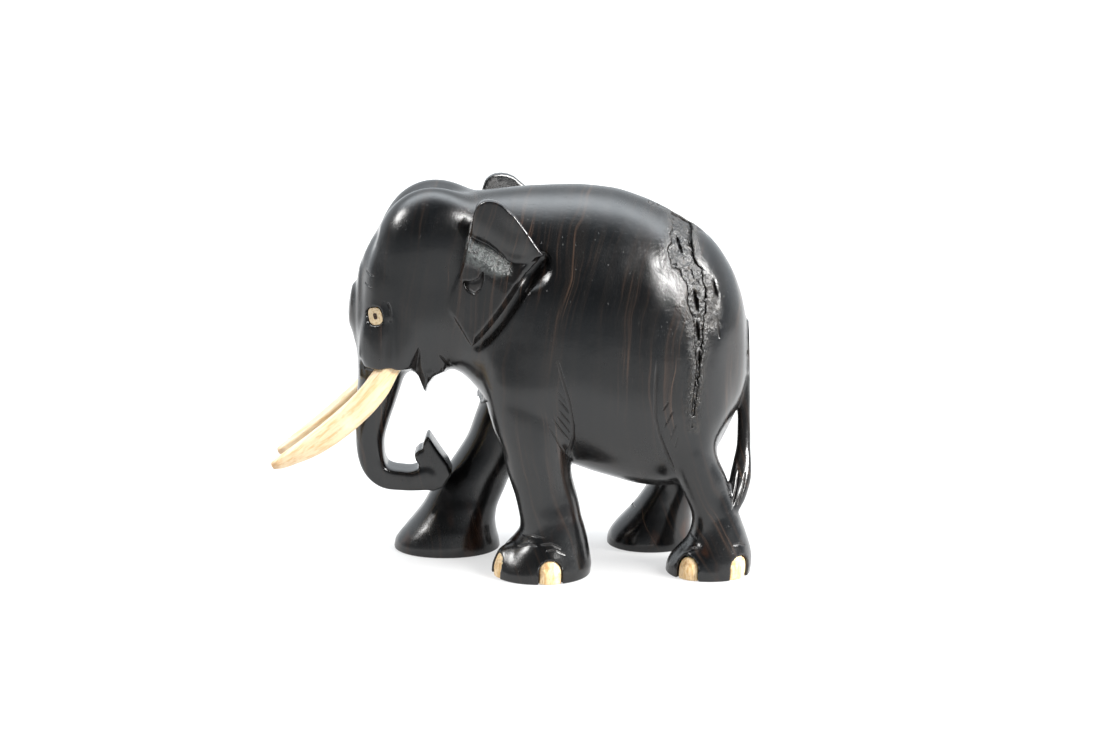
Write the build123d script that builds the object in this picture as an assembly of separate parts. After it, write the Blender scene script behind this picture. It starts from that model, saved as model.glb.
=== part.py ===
from build123d import *
import math
import os

# Carved ebony elephant with bone tusks, eyes and toenails.
# Millimetres. +Z is up, the elephant looks towards -Y and its left side is +X.
# Every station below is laid out along y from the saddle of the back; at the end
# the whole carving moves by SHIFT_Y so that the origin is the middle of its floor outline.

os.makedirs("parts", exist_ok=True)

# ------------------------------------------------------------------ driving dimensions
SHIFT_Y = 11.034         # from the layout origin to the middle of the outline
SOLE_Z = 0.0             # the flat the feet are cut to
EAR_OUTER = 26.0         # how far the ear's rear edge stands from the middle plane
EAR_FRONT = 19.6         # the same at the ear's front edge
EAR_THICK = 4.6          # thickness of the ear where it stands clear of the neck
LIP_HALF = 5.2           # half width of the lower lip
FINGER_HALF = 4.9        # half width of the trunk's tip
EYE_W, EYE_H = 4.5, 5.1  # eye inlay, across and up
EYE_DEEP = 2.2           # depth of the eye's socket
PUPIL_R = 0.7            # drilled pupil
NAIL_W, NAIL_H = 6.4, 8.6  # toenail inlay
NAIL_DEEP = 3.0
CRACK_DEEP = 2.0         # depth of the filled crack
TUSK_GLUE = 0.08         # glue film round the tusk in its socket

# ------------------------------------------------------------------ body stations
# y, top z, bottom z, half width, z of the widest point, exponent above, exponent below
CORE = [
    (-57.85, 78.4, 74.0, 3.0, 76.2, 2.0, 2.0),
    (-57.38, 82.2, 67.8, 6.0, 75.0, 2.2, 2.2),
    (-56.2, 86.0, 60.6, 8.8, 73.4, 2.4, 2.4),
    (-53.07, 92.2, 56.3, 12.0, 74.1, 2.6, 2.6),
    (-47.23, 100.6, 56.2, 15.2, 78.7, 2.7, 2.6),
    (-41.42, 105.2, 56.4, 17.6, 82.0, 2.8, 2.6),
    (-35.0, 106.8, 56.2, 18.5, 82.8, 2.7, 2.5),
    (-28.0, 107.2, 55.2, 18.6, 82.4, 2.5, 2.4),
    (-20.16, 107.9, 47.9, 20.2, 77.1, 2.2, 2.2),
    (-12.0, 109.3, 39.0, 23.9, 71.5, 2.1, 2.2),
    (-3.0, 110.1, 33.0, 27.1, 66.9, 2.0, 2.2),
    (7.0, 110.3, 30.3, 28.5, 64.7, 2.0, 2.2),
    (17.0, 109.5, 27.2, 29.1, 61.9, 2.0, 2.2),
    (26.5, 107.0, 24.2, 29.1, 59.0, 2.0, 2.2),
    (34.5, 103.1, 22.9, 28.1, 57.4, 2.0, 2.1),
    (41.5, 98.3, 24.8, 25.3, 58.3, 2.0, 2.0),
    (47.0, 93.0, 31.0, 21.4, 60.5, 2.0, 2.0),
    (51.6, 86.0, 39.2, 16.4, 62.4, 2.0, 2.0),
    (54.6, 78.6, 46.6, 11.6, 62.6, 2.0, 2.0),
    (56.6, 70.6, 54.0, 6.4, 62.2, 2.0, 2.0),
]

# ------------------------------------------------------------------ leg stations
# z, centre y, half length, centre x, half width
LEG = {
    "front_left": [
        (0.0, -2.65, 14.27, 15.5, 13.6), (2.17, -2.31, 14.22, 15.5, 13.6), (4.28, -1.88, 13.58, 15.5, 13.2),
        (6.4, -1.26, 12.6, 15.5, 12.6), (8.51, -0.58, 11.54, 15.5, 12.0), (10.61, 0.19, 10.42, 15.5, 11.3),
        (13.32, 0.66, 9.36, 15.5, 10.5), (17.51, 0.19, 8.73, 15.5, 9.8), (22.3, -0.75, 8.64, 15.2, 9.6),
        (29.14, -2.68, 8.78, 15.0, 10.0), (35.96, -3.89, 9.75, 15.0, 10.6), (43.34, -4.85, 11.55, 14.8, 11.4),
        (50.68, -6.83, 12.66, 14.5, 11.6), (56.53, -8.24, 12.78, 13.4, 10.6), (65.26, -9.91, 10.48, 11.5, 9.0)],
    "rear_left": [
        (0.0, 46.24, 11.8, 14.5, 11.9), (2.01, 46.56, 11.79, 14.5, 11.9), (4.13, 46.99, 11.29, 14.5, 11.6),
        (6.54, 47.65, 10.3, 14.5, 11.1), (9.56, 48.34, 8.8, 14.5, 10.3), (11.96, 48.41, 7.96, 14.5, 9.7),
        (15.27, 48.02, 7.14, 14.5, 9.0), (18.26, 47.21, 6.83, 14.5, 8.6), (23.05, 45.28, 6.87, 14.5, 8.6),
        (28.41, 43.19, 7.14, 14.5, 9.0), (33.46, 41.2, 7.56, 14.5, 9.8), (37.9, 39.97, 8.15, 14.3, 10.4),
        (44.68, 39.3, 9.06, 14.0, 11.2), (50.56, 39.94, 9.89, 12.6, 10.8), (58.0, 40.5, 9.8, 10.5, 9.0)],
    "front_right": [
        (0.0, -30.8, 15.8, -9.5, 13.6), (2.19, -30.73, 15.43, -9.5, 13.5), (4.38, -30.36, 14.51, -9.5, 13.1),
        (6.56, -29.62, 13.42, -9.5, 12.6), (9.05, -28.57, 12.29, -9.7, 12.0), (13.71, -26.35, 11.08, -10.0, 11.0),
        (17.12, -24.61, 10.85, -10.5, 10.4), (21.44, -22.24, 10.34, -11.0, 10.2), (26.06, -19.05, 10.13, -11.6, 10.3),
        (32.21, -14.8, 10.35, -12.4, 10.6), (38.32, -11.31, 11.31, -13.0, 11.0), (44.42, -8.49, 12.04, -13.5, 11.2),
        (50.49, -7.37, 12.09, -12.8, 10.8), (59.55, -7.06, 10.6, -11.0, 9.4)],
    "rear_right": [
        (0.0, 29.79, 12.77, -13.5, 12.1), (1.9, 29.95, 12.67, -13.5, 12.1), (3.78, 30.27, 12.24, -13.5, 11.8),
        (5.97, 31.04, 11.44, -13.5, 11.3), (8.16, 32.07, 10.47, -13.5, 10.7), (10.66, 33.32, 9.4, -13.5, 10.0),
        (14.08, 35.11, 8.46, -13.5, 9.4), (18.12, 37.01, 7.85, -13.5, 9.2), (22.15, 38.38, 8.21, -13.4, 9.6),
        (28.34, 39.35, 8.94, -13.3, 10.2), (37.56, 40.4, 10.0, -13.2, 10.8), (49.78, 40.6, 10.4, -11.5, 10.4),
        (57.0, 40.8, 10.0, -9.5, 9.0)],
}

# ------------------------------------------------------------------ trunk, tail and tusks
# y, z, half thickness in the bending plane, half width, centre x
TRUNK = [
    (-45.6, 71.4, 9.5, 11.0, 0), (-47.1, 64.9, 8.8, 10.2, 0), (-48.4, 58.6, 7.6, 9.0, 0), (-49.7, 51.5, 6.2, 8.0, 0),
    (-50.8, 46.4, 5.6, 7.4, 0), (-51.8, 41.0, 4.8, 6.8, 0), (-52.4, 36.2, 4.2, 6.3, 0), (-52.3, 32.0, 3.6, 5.9, 0),
    (-51.3, 28.4, 3.1, 5.7, 0), (-49.4, 25.7, 2.7, 5.5, 0), (-46.6, 24.1, 2.4, 5.4, 0), (-42.8, 23.6, 2.3, 5.3, 0),
    (-39.3, 23.8, 2.6, 5.3, 0), (-36.1, 24.8, 3.0, 5.3, 0)]
FINGERS = [
    (-41.64, 22.54), (-38.13, 21.48), (-34.03, 20.72), (-30.5, 21.94), (-27.83, 25.89), (-28.97, 29.04), (-31.85, 33.16),
    (-34.68, 36.84), (-35.44, 36.69), (-36.07, 34.97), (-36.44, 32.86), (-37.71, 32.31), (-38.83, 31.34), (-38.44, 29.83),
    (-37.6, 28.62), (-38.21, 27.25), (-40.71, 26.04)]
LIP = [(-40.23, 63.39), (-40.71, 57.15), (-39.61, 56.97), (-37.73, 54.29), (-35.9, 49.54), (-35.06, 51.93),
       (-33.32, 54.17), (-30.17, 55.66), (-28.36, 63.39)]
TAIL = [
    (54.4, 69.0, 3.2, 3.4, 0), (56.0, 61.9, 2.3, 2.9, 0), (55.9, 55.5, 2.2, 2.8, 0.5), (55.9, 48.9, 2.1, 2.6, 1.5),
    (55.9, 41.8, 2.1, 2.5, 3.2), (55.9, 34.9, 2.15, 2.5, 5.5), (55.7, 30.5, 2.3, 2.6, 8.0), (55.1, 26.7, 2.5, 2.8, 10.5),
    (54.0, 23.2, 2.5, 2.9, 13.0), (52.5, 19.7, 2.1, 2.6, 15.0), (51.1, 16.9, 1.3, 1.7, 16.2)]
TUSK = [
    (-40.6, 66.0, 2.6, 2.1, 12.2), (-43.6, 62.4, 3.0, 2.6, 12.3), (-46.1, 58.9, 3.26, 3.1, 12.4), (-48.94, 54.4, 3.7, 3.5, 12.4),
    (-51.99, 50.41, 3.78, 3.6, 12.3), (-57.56, 44.73, 3.77, 3.6, 11.8), (-63.15, 39.96, 3.62, 3.4, 11.2),
    (-68.92, 35.76, 3.17, 3.1, 10.4), (-73.82, 32.81, 2.49, 2.6, 9.6), (-77.38, 30.76, 1.94, 2.0, 8.8), (-79.91, 29.56, 1.19, 1.3, 8.3)]
EAR = [
    (-21.1, 104.95), (-19.34, 108.29), (-18.04, 108.99), (-16.33, 109.16), (-14.6, 108.82), (-12.87, 107.99), (-9.71, 104.95),
    (-6.55, 100.76), (-1.8, 94.33), (-6.57, 88.84), (-13.0, 78.76), (-17.82, 72.22), (-22.18, 67.3), (-24.55, 71.56),
    (-28.97, 78.42), (-27.23, 82.93), (-25.05, 87.85), (-23.54, 92.81), (-22.42, 98.43)]
EAR_LAG = {1: 0.0, -1: 2.4}      # the right ear is carved a little further back

# the filled crack, from just over the ridge of the rump down to the thigh: y, z, width
CRACK = [(34.0, 106.5, 4.6), (34.9, 103.0, 4.8), (36.8, 96.0, 4.9), (39.6, 89.2, 3.9), (40.4, 81.2, 2.9), (41.3, 72.2, 2.2),
         (41.7, 65.4, 1.9), (41.2, 57.2, 1.7), (40.9, 50.1, 1.5), (40.2, 43.2, 1.1)]

# toenails: leg, outward side, angle from straight ahead
NAILS = [("front_left", 1, 22, "front"), ("front_left", 1, 100, "side"), ("rear_left", 1, 56, "front"), ("rear_left", 1, 132, "side"),
         ("front_right", -1, 22, "front"), ("front_right", -1, 100, "side"), ("rear_right", -1, 56, "front"), ("rear_right", -1, 132, "side")]


# ------------------------------------------------------------------ helpers
def closed_spline(pts):
    return Wire([Edge.make_spline([Vector(*p) for p in pts], periodic=True)])


def core_section(y, zt, zb, w, zc, nt, nb, inset=0.0, count=28):
    """superellipse outline at one station"""
    pts = []
    for i in range(count):
        a = 2 * math.pi * i / count
        c, s = math.cos(a), math.sin(a)
        n = nt if s >= 0 else nb
        h = (zt - zc if s >= 0 else zc - zb) - inset
        x = math.copysign(abs(c) ** (2 / n), c) * (w - inset)
        z = zc + math.copysign(abs(s) ** (2 / n), s) * h
        pts.append((x, y, z))
    return closed_spline(pts)


def core_solid(inset=0.0, rows=CORE):
    return Solid.make_loft([core_section(*r, inset=inset) for r in rows])


def leg_loft(rows):
    # the same number of points on every ring keeps the seam straight down the leg
    wires = []
    for z, yc, ry, xc, rx in rows:
        wires.append(closed_spline([(xc + rx * math.cos(2 * math.pi * i / 20), yc + ry * math.sin(2 * math.pi * i / 20), z)
                                    for i in range(20)]))
    return Solid.make_loft(wires)


def limb_loft(rows, grow=0.0, power=2.0, count=20):
    """rings square to a path in the y-z plane"""
    wires = []
    for k, (y, z, rin, rx, xc) in enumerate(rows):
        a, b = rows[max(k - 1, 0)], rows[min(k + 1, len(rows) - 1)]
        ty, tz = b[0] - a[0], b[1] - a[1]
        ln = math.hypot(ty, tz)
        ny, nz = -tz / ln, ty / ln
        pts = []
        for i in range(count):
            t = 2 * math.pi * i / count
            c, s = math.cos(t), math.sin(t)
            u = math.copysign(abs(c) ** (2 / power), c) * (rx + grow)
            v = math.copysign(abs(s) ** (2 / power), s) * (rin + grow)
            pts.append((xc + u, y + ny * v, z + nz * v))
        wires.append(closed_spline(pts))
    return Solid.make_loft(wires)


def slab(profile, x0, x1):
    """profile in y-z, extruded across from x0 to x1"""
    face = Face(Wire.make_polygon([Vector(x0, y, z) for y, z in profile], close=True))
    return Solid.extrude(face, Vector(x1 - x0, 0, 0))


def one(shape):
    """largest solid of a boolean result"""
    sol = shape.solids()
    return max(sol, key=lambda q: q.volume)


def mirrored(rows, i):
    return [tuple(-v if j == i else v for j, v in enumerate(r)) for r in rows]


# ------------------------------------------------------------------ the carving
core = core_solid()
legs = {k: leg_loft(v) for k, v in LEG.items()}
trunk = limb_loft(TRUNK, power=2.3)
fingers = slab(FINGERS, -FINGER_HALF, FINGER_HALF)
lip = slab(LIP, -LIP_HALF, LIP_HALF)
tail = limb_loft(TAIL)


def dome(cx, cy, cz, rx, ry, rz, steps=9):
    """egg shape built from rings across y"""
    wires = []
    for k in range(steps):
        t = -0.96 + 1.92 * k / (steps - 1)
        f = math.sqrt(1 - t * t)
        wires.append(closed_spline([(cx + rx * f * math.cos(2 * math.pi * i / 16), cy + ry * t, cz + rz * f * math.sin(2 * math.pi * i / 16))
                                    for i in range(16)]))
    return Solid.make_loft(wires)


domes = [dome(s * 8.2, -36.0, 96.5, 9.9, 14.5, 13.9) for s in (1, -1)]
cheeks = [dome(s * 12.0, -45.5, 64.0, 5.2, 8.5, 8.5).intersect(Box(60, 60, 60, align=(Align.CENTER, Align.CENTER, Align.MIN)).moved(Location((0, -45, 57.2))))
          for s in (1, -1)]
cheeks = [one(c) for c in cheeks]

ears = []
for s in (1, -1):
    lag = EAR_LAG[s]
    plate = slab([(y + lag, z) for y, z in EAR], s * 11.0, s * (EAR_OUTER + 1))
    # the outer face leans: flush with the head in front, standing clear behind
    y0, y1 = -29.0 + lag, -1.8 + lag
    wedge = Face(Wire.make_polygon([Vector(s * EAR_FRONT, y0, 60), Vector(s * EAR_OUTER, y1 - 6, 60), Vector(s * EAR_OUTER, y1 + 4, 60),
                                    Vector(s * 45, y1 + 4, 60), Vector(s * 45, y0 - 4, 60), Vector(s * (EAR_FRONT - 0.8), y0 - 4, 60)], close=True))
    cutter = Solid.extrude(wedge, Vector(0, 0, 60))
    # the back of the ear is hollowed to an even plate that springs from the side of the head
    t = EAR_THICK
    hollow = Face(Wire.make_polygon([Vector(s * 5, y0 - 4, 60), Vector(s * (EAR_FRONT - 0.8 - t - 3.0), y0 - 4, 60),
                                     Vector(s * (EAR_FRONT - t - 1.6), y0 + 6, 60), Vector(s * (EAR_OUTER - t), y1 - 5, 60),
                                     Vector(s * (EAR_OUTER - t + 0.6), y1 + 4, 60), Vector(s * 5, y1 + 4, 60)], close=True))
    ears.append(one(plate - cutter - Solid.extrude(hollow, Vector(0, 0, 60))))

body = core
for piece in [*legs.values(), trunk, *domes, *cheeks, lip, fingers, tail, *ears]:
    body = one(body.fuse(piece))

# the mouth is a V cut between the trunk and the lower lip
mouth = slab([(-37.4, 65.5), (-41.0, 50.0), (-38.9, 50.0)], -9.0, 9.0)
body = one(body - mouth)

# ------------------------------------------------------------------ bone tusks in their sockets
tusks, sockets = {}, {}
for side, s in (("left", 1), ("right", -1)):
    rows = TUSK if s > 0 else mirrored(TUSK, 4)
    tusks[side] = limb_loft(rows)
    # the socket is the buried root grown by the glue film; the root's flat end sits on its floor
    sockets[side] = limb_loft(rows, grow=TUSK_GLUE)
    body = one(body - sockets[side])

# ------------------------------------------------------------------ eyes and pupils
EYE_Y, EYE_Z = -49.35, 74.95
eyes, pupils = {}, {}
for side, s in (("left", 1), ("right", -1)):
    outline = []
    for i in range(24):
        a = 2 * math.pi * i / 24
        c, q = math.cos(a), math.sin(a)
        outline.append((s * 8.0, EYE_Y + math.copysign(abs(c) ** 0.75, c) * EYE_W / 2, EYE_Z + math.copysign(abs(q) ** 0.75, q) * EYE_H / 2))
    prism = Solid.extrude(Face(closed_spline(outline)), Vector(s * 14.0, 0, 0))
    # flush with the side of the head outside, EYE_DEEP thick
    inner = core_solid(inset=EYE_DEEP, rows=CORE[2:8])
    eye = one((prism & core) - inner)
    drill = Solid.make_cylinder(PUPIL_R, 14.0, Plane(origin=(s * 8.0, EYE_Y, EYE_Z), x_dir=(0, 1, 0), z_dir=(s, 0, 0)))
    pupil = one(eye & drill)
    body = one(body - eye)
    eye = one(eye - drill)
    eyes[side], pupils[side] = eye, pupil

# ------------------------------------------------------------------ toenails
nails = {}
for leg, s, angle, tag in NAILS:
    row = LEG[leg][1]
    yc, ry, xc, rx = row[1], row[2], row[3], row[4]
    a = math.radians(angle)
    d = (s * math.sin(a), -math.cos(a))
    den = math.hypot(rx * d[0], ry * d[1])
    px, py = xc + rx * rx * d[0] / den, yc + ry * ry * d[1] / den
    pl = Plane(origin=(px - d[0] * NAIL_DEEP, py - d[1] * NAIL_DEEP, 0), x_dir=(-d[1], d[0], 0), z_dir=(d[0], d[1], 0))
    up = pl.y_dir.Z
    w = NAIL_W / 2
    arch = [(-w, 0), (-w, NAIL_H - w * 1.05)]
    for i in range(1, 8):
        t = math.pi * (1 - i / 8)
        arch.append((w * math.cos(t), NAIL_H - w * 1.05 + w * 1.05 * math.sin(t)))
    arch += [(w, NAIL_H - w * 1.05), (w, 0)]
    face = Face(Wire.make_polygon([pl.from_local_coords(Vector(u, v * up, 0)) for u, v in arch], close=True))
    block = Solid.extrude(face, Vector(d[0], d[1], 0) * (NAIL_DEEP + 4))
    nail = one(block & legs[leg])
    body = one(body - nail)
    nails[f"toenail_{leg}_{tag}"] = nail

# ------------------------------------------------------------------ black filler in the rump crack
left, right = [], []
for k, (y, z, w) in enumerate(CRACK):
    a, b = CRACK[max(k - 1, 0)], CRACK[min(k + 1, len(CRACK) - 1)]
    ty, tz = b[0] - a[0], b[1] - a[1]
    ln = math.hypot(ty, tz)
    ny, nz = -tz / ln, ty / ln
    left.append((y + ny * w / 2, z + nz * w / 2))
    right.append((y - ny * w / 2, z - nz * w / 2))
strip = slab(left + right[::-1], -4.0, 34.0)
fill = one((strip & core) - core_solid(inset=CRACK_DEEP))
body = one(body - fill)

# ------------------------------------------------------------------ lay out and write
parts = {"body": body, "crack_repair_fill": fill}
for side in ("left", "right"):
    parts[f"tusk_{side}"] = tusks[side]
    parts[f"eye_{side}"] = eyes[side]
    parts[f"pupil_{side}"] = pupils[side]
parts.update(nails)

move = Location((0, SHIFT_Y, SOLE_Z))
lo, hi = [1e9] * 3, [-1e9] * 3
for name, solid in parts.items():
    solid = solid.moved(move)
    bb = solid.bounding_box(optimal=True)
    for i, (p, q) in enumerate(((bb.min.X, bb.max.X), (bb.min.Y, bb.max.Y), (bb.min.Z, bb.max.Z))):
        lo[i], hi[i] = min(lo[i], p), max(hi[i], q)
    print(f"{name:28s} volume {solid.volume:10.1f} mm3  faces {len(solid.faces()):3d}  valid {solid.is_valid}")
    export_step(solid, f"parts/{name}.step")
print("outline", [round(v, 2) for v in lo], [round(v, 2) for v in hi], "middle y", round((lo[1] + hi[1]) / 2, 3), "middle x", round((lo[0] + hi[0]) / 2, 3))
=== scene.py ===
import math
import bpy
import bmesh
import numpy as np
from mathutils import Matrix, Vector


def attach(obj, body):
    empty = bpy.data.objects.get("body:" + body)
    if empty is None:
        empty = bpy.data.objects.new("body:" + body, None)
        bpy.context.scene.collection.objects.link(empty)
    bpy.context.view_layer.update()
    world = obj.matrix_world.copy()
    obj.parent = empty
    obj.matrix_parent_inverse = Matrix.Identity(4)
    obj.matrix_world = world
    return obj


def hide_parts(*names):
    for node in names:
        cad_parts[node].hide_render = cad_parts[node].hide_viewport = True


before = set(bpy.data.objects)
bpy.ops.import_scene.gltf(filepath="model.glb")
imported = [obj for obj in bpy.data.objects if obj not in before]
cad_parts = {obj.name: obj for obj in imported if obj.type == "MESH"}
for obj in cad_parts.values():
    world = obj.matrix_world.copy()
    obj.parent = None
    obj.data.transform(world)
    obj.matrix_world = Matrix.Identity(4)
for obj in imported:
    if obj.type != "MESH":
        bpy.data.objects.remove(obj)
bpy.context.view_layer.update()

# Everything is laid out in millimetres from the saddle of the back (head towards -y, left side +x),
# then moved back by SHIFT and scaled to metres, which is the row frame.
SHIFT = 11.034
H = 0.45          # carving grid, mm
# ------------------------------------------------------------------ stations, mm
# body and head: y, top z, bottom z, half width, z of the widest point, squareness above, below
BARREL = [(-54.9, 80.0, 72.0, 3.0, 76.0, 2.0, 2.0), (-54.5, 85.5, 65.5, 6.6, 75.0, 2.05, 2.1), (-53.8, 89.0, 60.5, 9.4, 74.0, 2.2, 2.2),
          (-52.3, 92.6, 57.4, 12.1, 74.3, 2.5, 2.5), (-47.23, 100.0, 56.6, 15.4, 78.7, 2.9, 2.8), (-41.42, 104.6, 57.2, 17.4, 82.0, 3.0, 2.8),
          (-35.0, 106.9, 57.6, 18.1, 82.8, 2.9, 2.6), (-28.0, 107.8, 56.8, 18.1, 82.4, 2.6, 2.4), (-20.16, 108.4, 50.4, 19.4, 77.1, 2.3, 2.2),
          (-12.0, 109.4, 39.4, 23.2, 71.5, 2.1, 2.2), (-3.0, 110.1, 33.0, 27.0, 66.9, 2.0, 2.2), (7.0, 110.3, 28.8, 28.5, 64.7, 2.0, 2.2),
          (17.0, 109.4, 25.4, 29.1, 61.9, 2.0, 2.2), (26.5, 106.6, 23.0, 29.1, 59.0, 2.0, 2.2), (34.5, 102.8, 22.3, 28.1, 57.4, 2.0, 2.1),
          (41.5, 98.6, 24.8, 25.3, 58.3, 2.0, 2.0), (47.0, 93.9, 31.0, 21.6, 60.5, 2.0, 2.0), (51.6, 87.3, 39.2, 17.0, 62.4, 2.0, 2.0),
          (54.8, 79.6, 46.6, 12.4, 62.6, 2.0, 2.0), (56.8, 71.0, 54.0, 7.0, 62.2, 2.0, 2.0)]
# legs: z, centre y, half depth, centre x, half width
LEGS = {
    "front_left": [(0, -2.65, 14.27, 15.5, 13.6), (2.17, -2.31, 14.22, 15.5, 13.6), (4.28, -1.88, 13.58, 15.5, 13.2), (6.4, -1.26, 12.6, 15.5, 12.6),
                   (8.51, -0.58, 11.54, 15.5, 12.0), (10.61, 0.19, 10.42, 15.5, 11.3), (13.32, 0.66, 9.36, 15.5, 10.5), (17.51, 0.05, 8.95, 15.5, 9.8),
                   (22.3, -0.95, 8.95, 15.2, 9.6), (29.14, -2.85, 9.1, 15.0, 10.0), (35.96, -3.89, 9.75, 15.0, 10.6), (43.34, -4.85, 11.55, 14.8, 11.3),
                   (50.68, -6.2, 12.0, 13.8, 12.1), (56.53, -7.2, 11.2, 13.0, 11.5), (62, -7.8, 10.0, 11.8, 10.4), (70, -8.2, 7.0, 9.0, 8.0), (77, -8.5, 4.0, 5.0, 4.5)],
    "rear_left": [(0, 45.6, 12.2, 14.5, 11.9), (2.01, 45.9, 12.2, 14.5, 11.9), (4.13, 46.4, 11.8, 14.5, 11.6), (6.54, 47.3, 10.6, 14.5, 11.1),
                  (9.56, 48.2, 8.9, 14.5, 10.3), (11.96, 48.35, 8.0, 14.5, 9.7), (15.27, 48.0, 7.15, 14.5, 9.0), (18.26, 47.21, 6.83, 14.5, 8.6),
                  (23.05, 45.28, 6.87, 14.5, 8.6), (28.41, 43.19, 7.14, 14.5, 9.0), (33.46, 40.9, 7.3, 14.5, 9.8), (37.9, 39.5, 7.7, 14.3, 10.3),
                  (44.68, 38.6, 8.5, 13.4, 10.4), (50.56, 38.3, 8.8, 11.8, 9.8), (58.0, 37.6, 8.2, 9.0, 8.4), (68, 36.8, 5.0, 5.5, 5.0)],
    "front_right": [(0, -30.8, 15.8, -9.5, 13.6), (2.19, -30.73, 15.43, -9.5, 13.5), (4.38, -30.36, 14.51, -9.5, 13.1), (6.56, -29.62, 13.42, -9.5, 12.6),
                    (9.05, -28.57, 12.29, -9.7, 12.0), (13.71, -26.35, 11.08, -10.0, 11.0), (17.12, -24.61, 10.85, -10.5, 10.4), (21.44, -22.24, 10.34, -11.0, 10.2),
                    (26.06, -19.05, 10.13, -11.6, 10.3), (32.21, -14.8, 10.35, -12.4, 10.6), (38.32, -11.31, 11.31, -13.0, 11.0), (44.42, -8.49, 12.04, -13.5, 11.2),
                    (50.49, -7.4, 11.6, -12.0, 10.3), (59.55, -7.6, 9.4, -9.4, 8.4), (70, -7.8, 5.0, -5.5, 5.0)],
    "rear_right": [(0, 29.79, 12.77, -13.5, 12.1), (1.9, 29.95, 12.67, -13.5, 12.1), (3.78, 30.27, 12.24, -13.5, 11.8), (5.97, 31.04, 11.44, -13.5, 11.3),
                   (8.16, 32.07, 10.47, -13.5, 10.7), (10.66, 33.32, 9.4, -13.5, 10.0), (14.08, 35.11, 8.46, -13.5, 9.4), (18.12, 37.01, 7.85, -13.5, 9.2),
                   (22.15, 38.38, 8.21, -13.4, 9.6), (28.34, 39.35, 8.94, -13.3, 10.2), (37.56, 40.0, 9.6, -13.2, 10.6), (49.78, 38.8, 9.2, -11.6, 9.9),
                   (57.0, 37.8, 8.4, -9.2, 8.6), (67, 37.0, 5.0, -5.5, 5.0)]}
# trunk, y, z, thickness, half width, x, squareness
TRUNK = [(-38.5, 88.0, 7.0, 8.0, 0, 2.1), (-45.4, 71.4, 11.4, 10.2, 0, 2.15), (-47.0, 64.9, 9.5, 9.7, 0, 2.2), (-48.4, 58.6, 7.5, 8.8, 0, 2.2), (-49.7, 51.5, 6.2, 7.8, 0, 2.2),
         (-50.8, 46.4, 5.6, 7.2, 0, 2.3), (-51.8, 41.0, 4.8, 6.7, 0, 2.4), (-52.4, 36.2, 4.2, 6.2, 0, 2.6), (-52.3, 32.0, 4.0, 5.9, 0, 3.2),
         (-51.4, 28.3, 3.7, 5.7, 0, 4.0), (-49.4, 25.5, 3.3, 5.5, 0, 5.5), (-46.6, 24.2, 3.15, 5.4, 0, 7), (-42.8, 23.8, 3.0, 5.3, 0, 7),
         (-39.3, 23.7, 2.9, 5.3, 0, 6), (-36.1, 24.8, 3.0, 5.3, 0, 5)]
FINGERS = [(-41.64, 22.3), (-38.13, 21.3), (-34.03, 20.72), (-31.0, 21.94), (-28.6, 25.7), (-29.8, 28.9), (-32.7, 33.1), (-35.2, 37.1), (-36.0, 37.0),
           (-36.8, 35.1), (-37.1, 33.3), (-38.3, 32.9), (-39.5, 31.7), (-39.1, 29.9), (-38.1, 28.5), (-38.4, 27.2), (-40.71, 26.04)]
LIP = [(-40.23, 63.39), (-40.71, 57.15), (-39.61, 56.97), (-37.73, 54.29), (-35.9, 49.54), (-35.06, 51.93), (-33.32, 54.17), (-30.17, 55.66), (-28.36, 63.39)]
TAIL = [(54.0, 69.5, 3.0, 3.4, 0, 2.2), (55.8, 61.9, 2.1, 3.0, 0, 2.3), (56.1, 55.5, 1.9, 2.8, 0.5, 2.5), (56.2, 48.9, 1.8, 2.6, 1.5, 2.6),
        (56.2, 41.8, 1.85, 2.6, 3.2, 2.6), (56.1, 34.9, 2.0, 2.7, 5.5, 2.6), (55.6, 30.5, 2.6, 3.0, 8.4, 2.4), (54.9, 26.7, 3.0, 3.2, 11.0, 2.2),
        (53.7, 23.2, 3.0, 3.2, 13.6, 2.0), (52.1, 19.7, 2.6, 2.9, 15.6, 2.0), (50.6, 16.5, 1.2, 1.6, 16.8, 2.0)]
TUSK = [(-40.6, 66.0, 2.6, 2.1, 12.2), (-43.6, 62.4, 3.0, 2.6, 12.3), (-46.1, 58.9, 3.26, 3.1, 12.4), (-48.94, 54.4, 3.7, 3.5, 12.4),
        (-51.99, 50.41, 3.78, 3.6, 12.3), (-57.56, 44.73, 3.77, 3.6, 11.8), (-63.15, 39.96, 3.62, 3.4, 11.2), (-68.92, 35.76, 3.17, 3.1, 10.4),
        (-73.82, 32.81, 2.49, 2.6, 9.6), (-77.38, 30.76, 1.94, 2.0, 8.8), (-79.91, 29.56, 1.19, 1.3, 8.3)]
EAR = [(-21.1, 104.95), (-20.4, 107.2), (-19.34, 108.29), (-18.04, 108.99), (-16.33, 109.16), (-14.6, 108.82), (-12.87, 107.99), (-9.71, 104.95),
       (-6.55, 100.76), (-3.6, 96.6), (-1.9, 94.4), (-3.4, 92.3), (-6.57, 88.84), (-13.0, 78.76), (-17.82, 72.22), (-22.0, 67.4), (-24.55, 71.56),
       (-28.97, 78.42), (-27.23, 82.93), (-25.05, 87.85), (-23.54, 92.81), (-22.42, 98.43)]
CREASE = [(-22.6, 98.6), (-19.6, 97.2), (-17.4, 96.3), (-14.0, 93.9), (-12.2, 92.4), (-9.8, 91.5), (-6.9, 91.6), (-4.0, 92.6), (-2.2, 94.0), (1.5, 96)]
EYE = (-49.35, 74.95)
# nails: leg, side, angle out from straight ahead, name
NAILS = [("front_left", 1, 22, "front"), ("front_left", 1, 100, "side"), ("rear_left", 1, 56, "front"), ("rear_left", 1, 132, "side"),
         ("front_right", -1, 22, "front"), ("front_right", -1, 100, "side"), ("rear_right", -1, 56, "front"), ("rear_right", -1, 132, "side")]
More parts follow.
